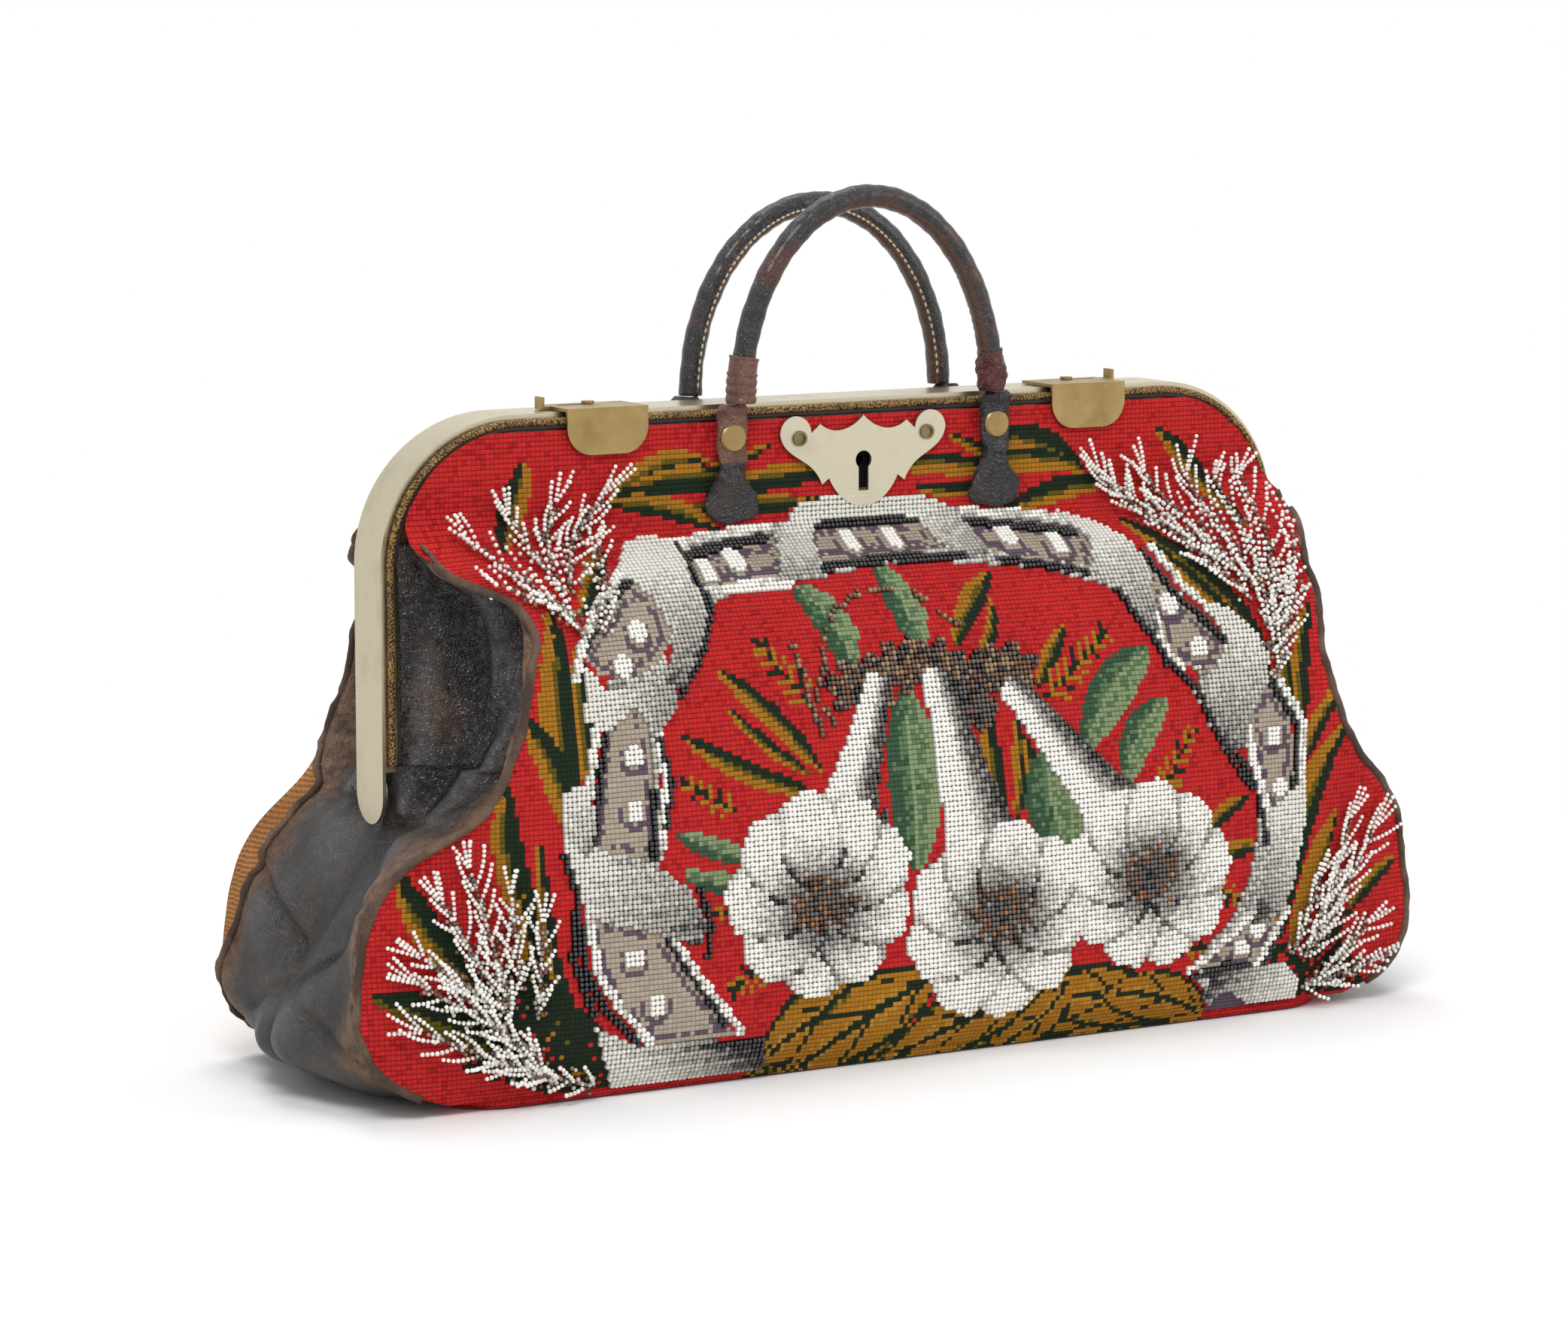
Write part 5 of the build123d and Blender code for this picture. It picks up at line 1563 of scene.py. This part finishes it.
def handle(node, lean, rise):
    """A rolled handle with its seam; lean says which way the seam faces."""
    low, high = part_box(node)
    turn, line = handle_line((low[1] + high[1]) / 2, 220, math.pi, rise)
    wobble = 0.00012 * np.sin(turn * 23 + 60 * low[1]) + 0.00009 * np.sin(turn * 57 + 1)
    piece = tube(node + "_roll", line, handle_radius - 0.0001 + wobble, 28)
    name_piece(piece, node + "_roll", None, rolled_leather)
    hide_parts(node)
    inward = unit(np.stack([np.cos(turn) / handle_half, np.zeros_like(turn),
                            -np.sin(turn) / handle_rise], axis=1))
    across = unit(inward * lean[0] + np.array((lean[1], lean[2], 0)))
    seam = tube(node + "_seam", line + across * (handle_radius - 0.0003), 0.0008, 8)
    name_piece(seam, node + "_seam", None, rolled_leather)
    shape, faces = ball(0.0005)
    chosen = np.arange(4, len(line) - 4, 3)
    ways = unit(np.gradient(line, axis=0)[chosen])
    drawn = shape[None] + (shape @ ways.T).T[:, :, None] * ways[:, None, :] * 1.4
    places = line[chosen] + across[chosen] * (handle_radius + 0.00035)
    row = repeated(node + "_stitches", drawn, faces, places)
    name_piece(row, node + "_stitches", None, thread)
    for part in (piece, seam, row):
        bend_at_foot(part)


handle("front_handle", (0.5, 0.0, 0.85), handle_rise + 0.001)
handle("rear_handle", (0.35, -0.25, -0.9), handle_rise - 0.0035)
print("handles rolled")

# %% Handle ends
paddle_dark = leather("paddle_dark", linear(44, 44, 48), linear(74, 54, 46), 700.0, 0.38, 0.26, 0.0006)
worn_red = leather("worn_red", linear(84, 26, 20), linear(46, 34, 32), 700.0, 0.46, 0.2, 0.0006)
tab_rings, tab_sides, paddle_top = 90, 36, 0.2392
knot_height, knot_spread = 235.5, 3.6
chape_levels = np.array([  # height, width, thickness, sideways, all in millimetres
    (214.8, 9.0, 2.0, 1.2), (215.8, 18.0, 3.0, 1.0), (218.2, 23.4, 3.6, 0.6),
    (221.5, 24.6, 4.0, 0.2), (225.5, 22.4, 4.6, 0.0), (229.0, 17.8, 5.4, -0.4),
    (232.0, 13.4, 6.0, -0.8), (234.2, 12.6, 6.4, -0.8), (236.2, 10.6, 5.4, -0.4),
    (238.4, 11.8, 6.2, 0.2), (241.0, 12.8, 4.8, 0.4), (246.0, 13.2, 4.2, 0.2),
    (252.0, 13.6, 4.3, 0.0), (258.0, 13.8, 5.4, 0.0), (260.6, 12.6, 7.2, 0.0), (262.4, 9.4, 6.4, 0.0)])


def chape(node, body, material_top, material_low, seed):
    """A leather tab: a loop under the stud, a knotted neck and a paddle with a rounded foot."""
    low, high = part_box(node)
    face = -1 if low[1] < 0 else 1
    wall = min(abs(low[1]), abs(high[1])) + 0.0002
    middle_x = (low[0] + high[0]) / 2
    heights = np.linspace(chape_levels[-1, 0], chape_levels[0, 0], tab_rings)
    widths, depths, shifts = [np.interp(heights, chape_levels[:, 0], chape_levels[:, k]) * MM
                              for k in (1, 2, 3)]
    angles = np.linspace(0, 2 * math.pi, tab_sides, endpoint=False)
    cos, sin = np.cos(angles), np.sin(angles)
    box_x, box_y = np.sign(cos) * np.abs(cos) ** 0.8, np.sign(sin) * np.abs(sin) ** 0.8
    rings = []
    for z, w, d, shift in zip(heights, widths / 2, depths / 2, shifts):
        crumple = (1 + 0.04 * np.sin(3 * angles + z * 0.5 + seed)
                   + 0.03 * np.sin(5 * angles - z * 0.4 + 2 * seed))
        knotted = math.exp(-((z - knot_height) / knot_spread) ** 2)
        crease = (1 + 0.16 * knotted * np.sin(z * 1.5 + seed + 3.4 * cos)
                  + 0.07 * np.sin(2.6 * cos + z * 0.33 + 3 * seed))
        rings.append(np.stack([middle_x + shift + w * box_x * crumple,
                               face * (wall + d + d * box_y * np.where(box_y > 0, crumple * crease, 1)),
                               z * MM + 0.0004 * np.sin(2 * angles + seed)], axis=1))
    piece = from_rings(node + "_tab", rings)
    name_piece(piece, node + "_tab", body, material_top)
    piece.data.materials.append(material_low)
    for polygon in piece.data.polygons:
        if polygon.center.z < paddle_top:
            polygon.material_index = 1
    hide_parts(node)


chape("chape_front_left", "front_jaw", sleeve_leather, paddle_dark, 0.3)
chape("chape_front_right", "front_jaw", paddle_dark, paddle_dark, 1.7)
chape("chape_rear_left", "rear_jaw", handle_leather, paddle_dark, 2.9)
chape("chape_rear_right", "rear_jaw", handle_leather, paddle_dark, 4.1)

# %% Sleeve and worn knot on the front handle
low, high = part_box("front_handle")
depth = (low[1] + high[1]) / 2
sleeve_rings, knot_rings, knot_sides = 60, 40, 24
sleeve_rise, knot_rise = 0.0185, 0.0165
line = handle_line(depth, sleeve_rings, math.asin(sleeve_rise / handle_rise))[1]
run = np.linspace(0, 1, sleeve_rings)
radii = 0.0058 + 0.0005 * np.abs(np.sin(run * 17)) * (run < 0.66) + 0.0003 * (run > 0.94)
sleeve = tube("sleeve_wrap", line, radii, 28)
name_piece(sleeve, "sleeve_wrap", None, sleeve_leather)
bend_at_foot(sleeve)
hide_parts("handle_sleeve")
line = handle_line(depth, knot_rings, math.asin(knot_rise / handle_rise))[1]
line[:, 0] = 2 * handle_middle - line[:, 0]
run = np.linspace(0, 1, knot_rings)[:, None]
angles = np.linspace(0, 2 * math.pi, knot_sides, endpoint=False)
swell = 0.0050 + 0.0012 * np.sin(math.pi * np.clip(run * 1.1, 0, 1)) ** 0.8
lump = 1 + 0.07 * np.sin(3 * angles + run * 9) + 0.05 * np.sin(7 * angles - run * 21)
rings = line[:, None, :] + np.stack([swell * lump * np.cos(angles), swell * lump * np.sin(angles),
                                     0.25 * swell * np.cos(angles) * run], axis=2)
knot = from_rings("worn_knot", rings)
name_piece(knot, "worn_knot", None, worn_red)
bend_at_foot(knot)
print("handle ends ready")

# %% [markdown]
# ## Finishes for the ready-made metal
# The metal parts keep their shape from the frame file. They get their finish, and the lock plate,
# catches, studs and pins get a fine bevel.

# %% Give each part its finish
pasteboard = plain_material("pasteboard", linear(150, 128, 98), 0.9)
finish_of_slot = {"nickel": nickel, "lock_nickel": ivory_nickel, "steel": steel,
                  "brass": aged_brass, "base_leather": base_leather, "board": pasteboard}
for part in frame["record"]["subparts"]:
    finish = finish_of_slot.get(part["material_slot"])
    if finish:
        obj = nodes[part["node"]]
        obj.data.materials.clear()
        obj.data.materials.append(finish)
nodes["lock_pins"].data.materials[0] = dull_brass
bevel_width, sharp_angle = 0.00022, 40
for node in ("lock_plate", "catch_left", "catch_right", "front_studs", "rear_studs", "lock_pins"):
    bevel = nodes[node].modifiers.new("soft_edges", "BEVEL")
    bevel.width = bevel_width
    bevel.segments = 2
    bevel.limit_method = "ANGLE"
    bevel.angle_limit = math.radians(sharp_angle)
print("parts shown", sum(1 for o in nodes.values() if not o.hide_render))
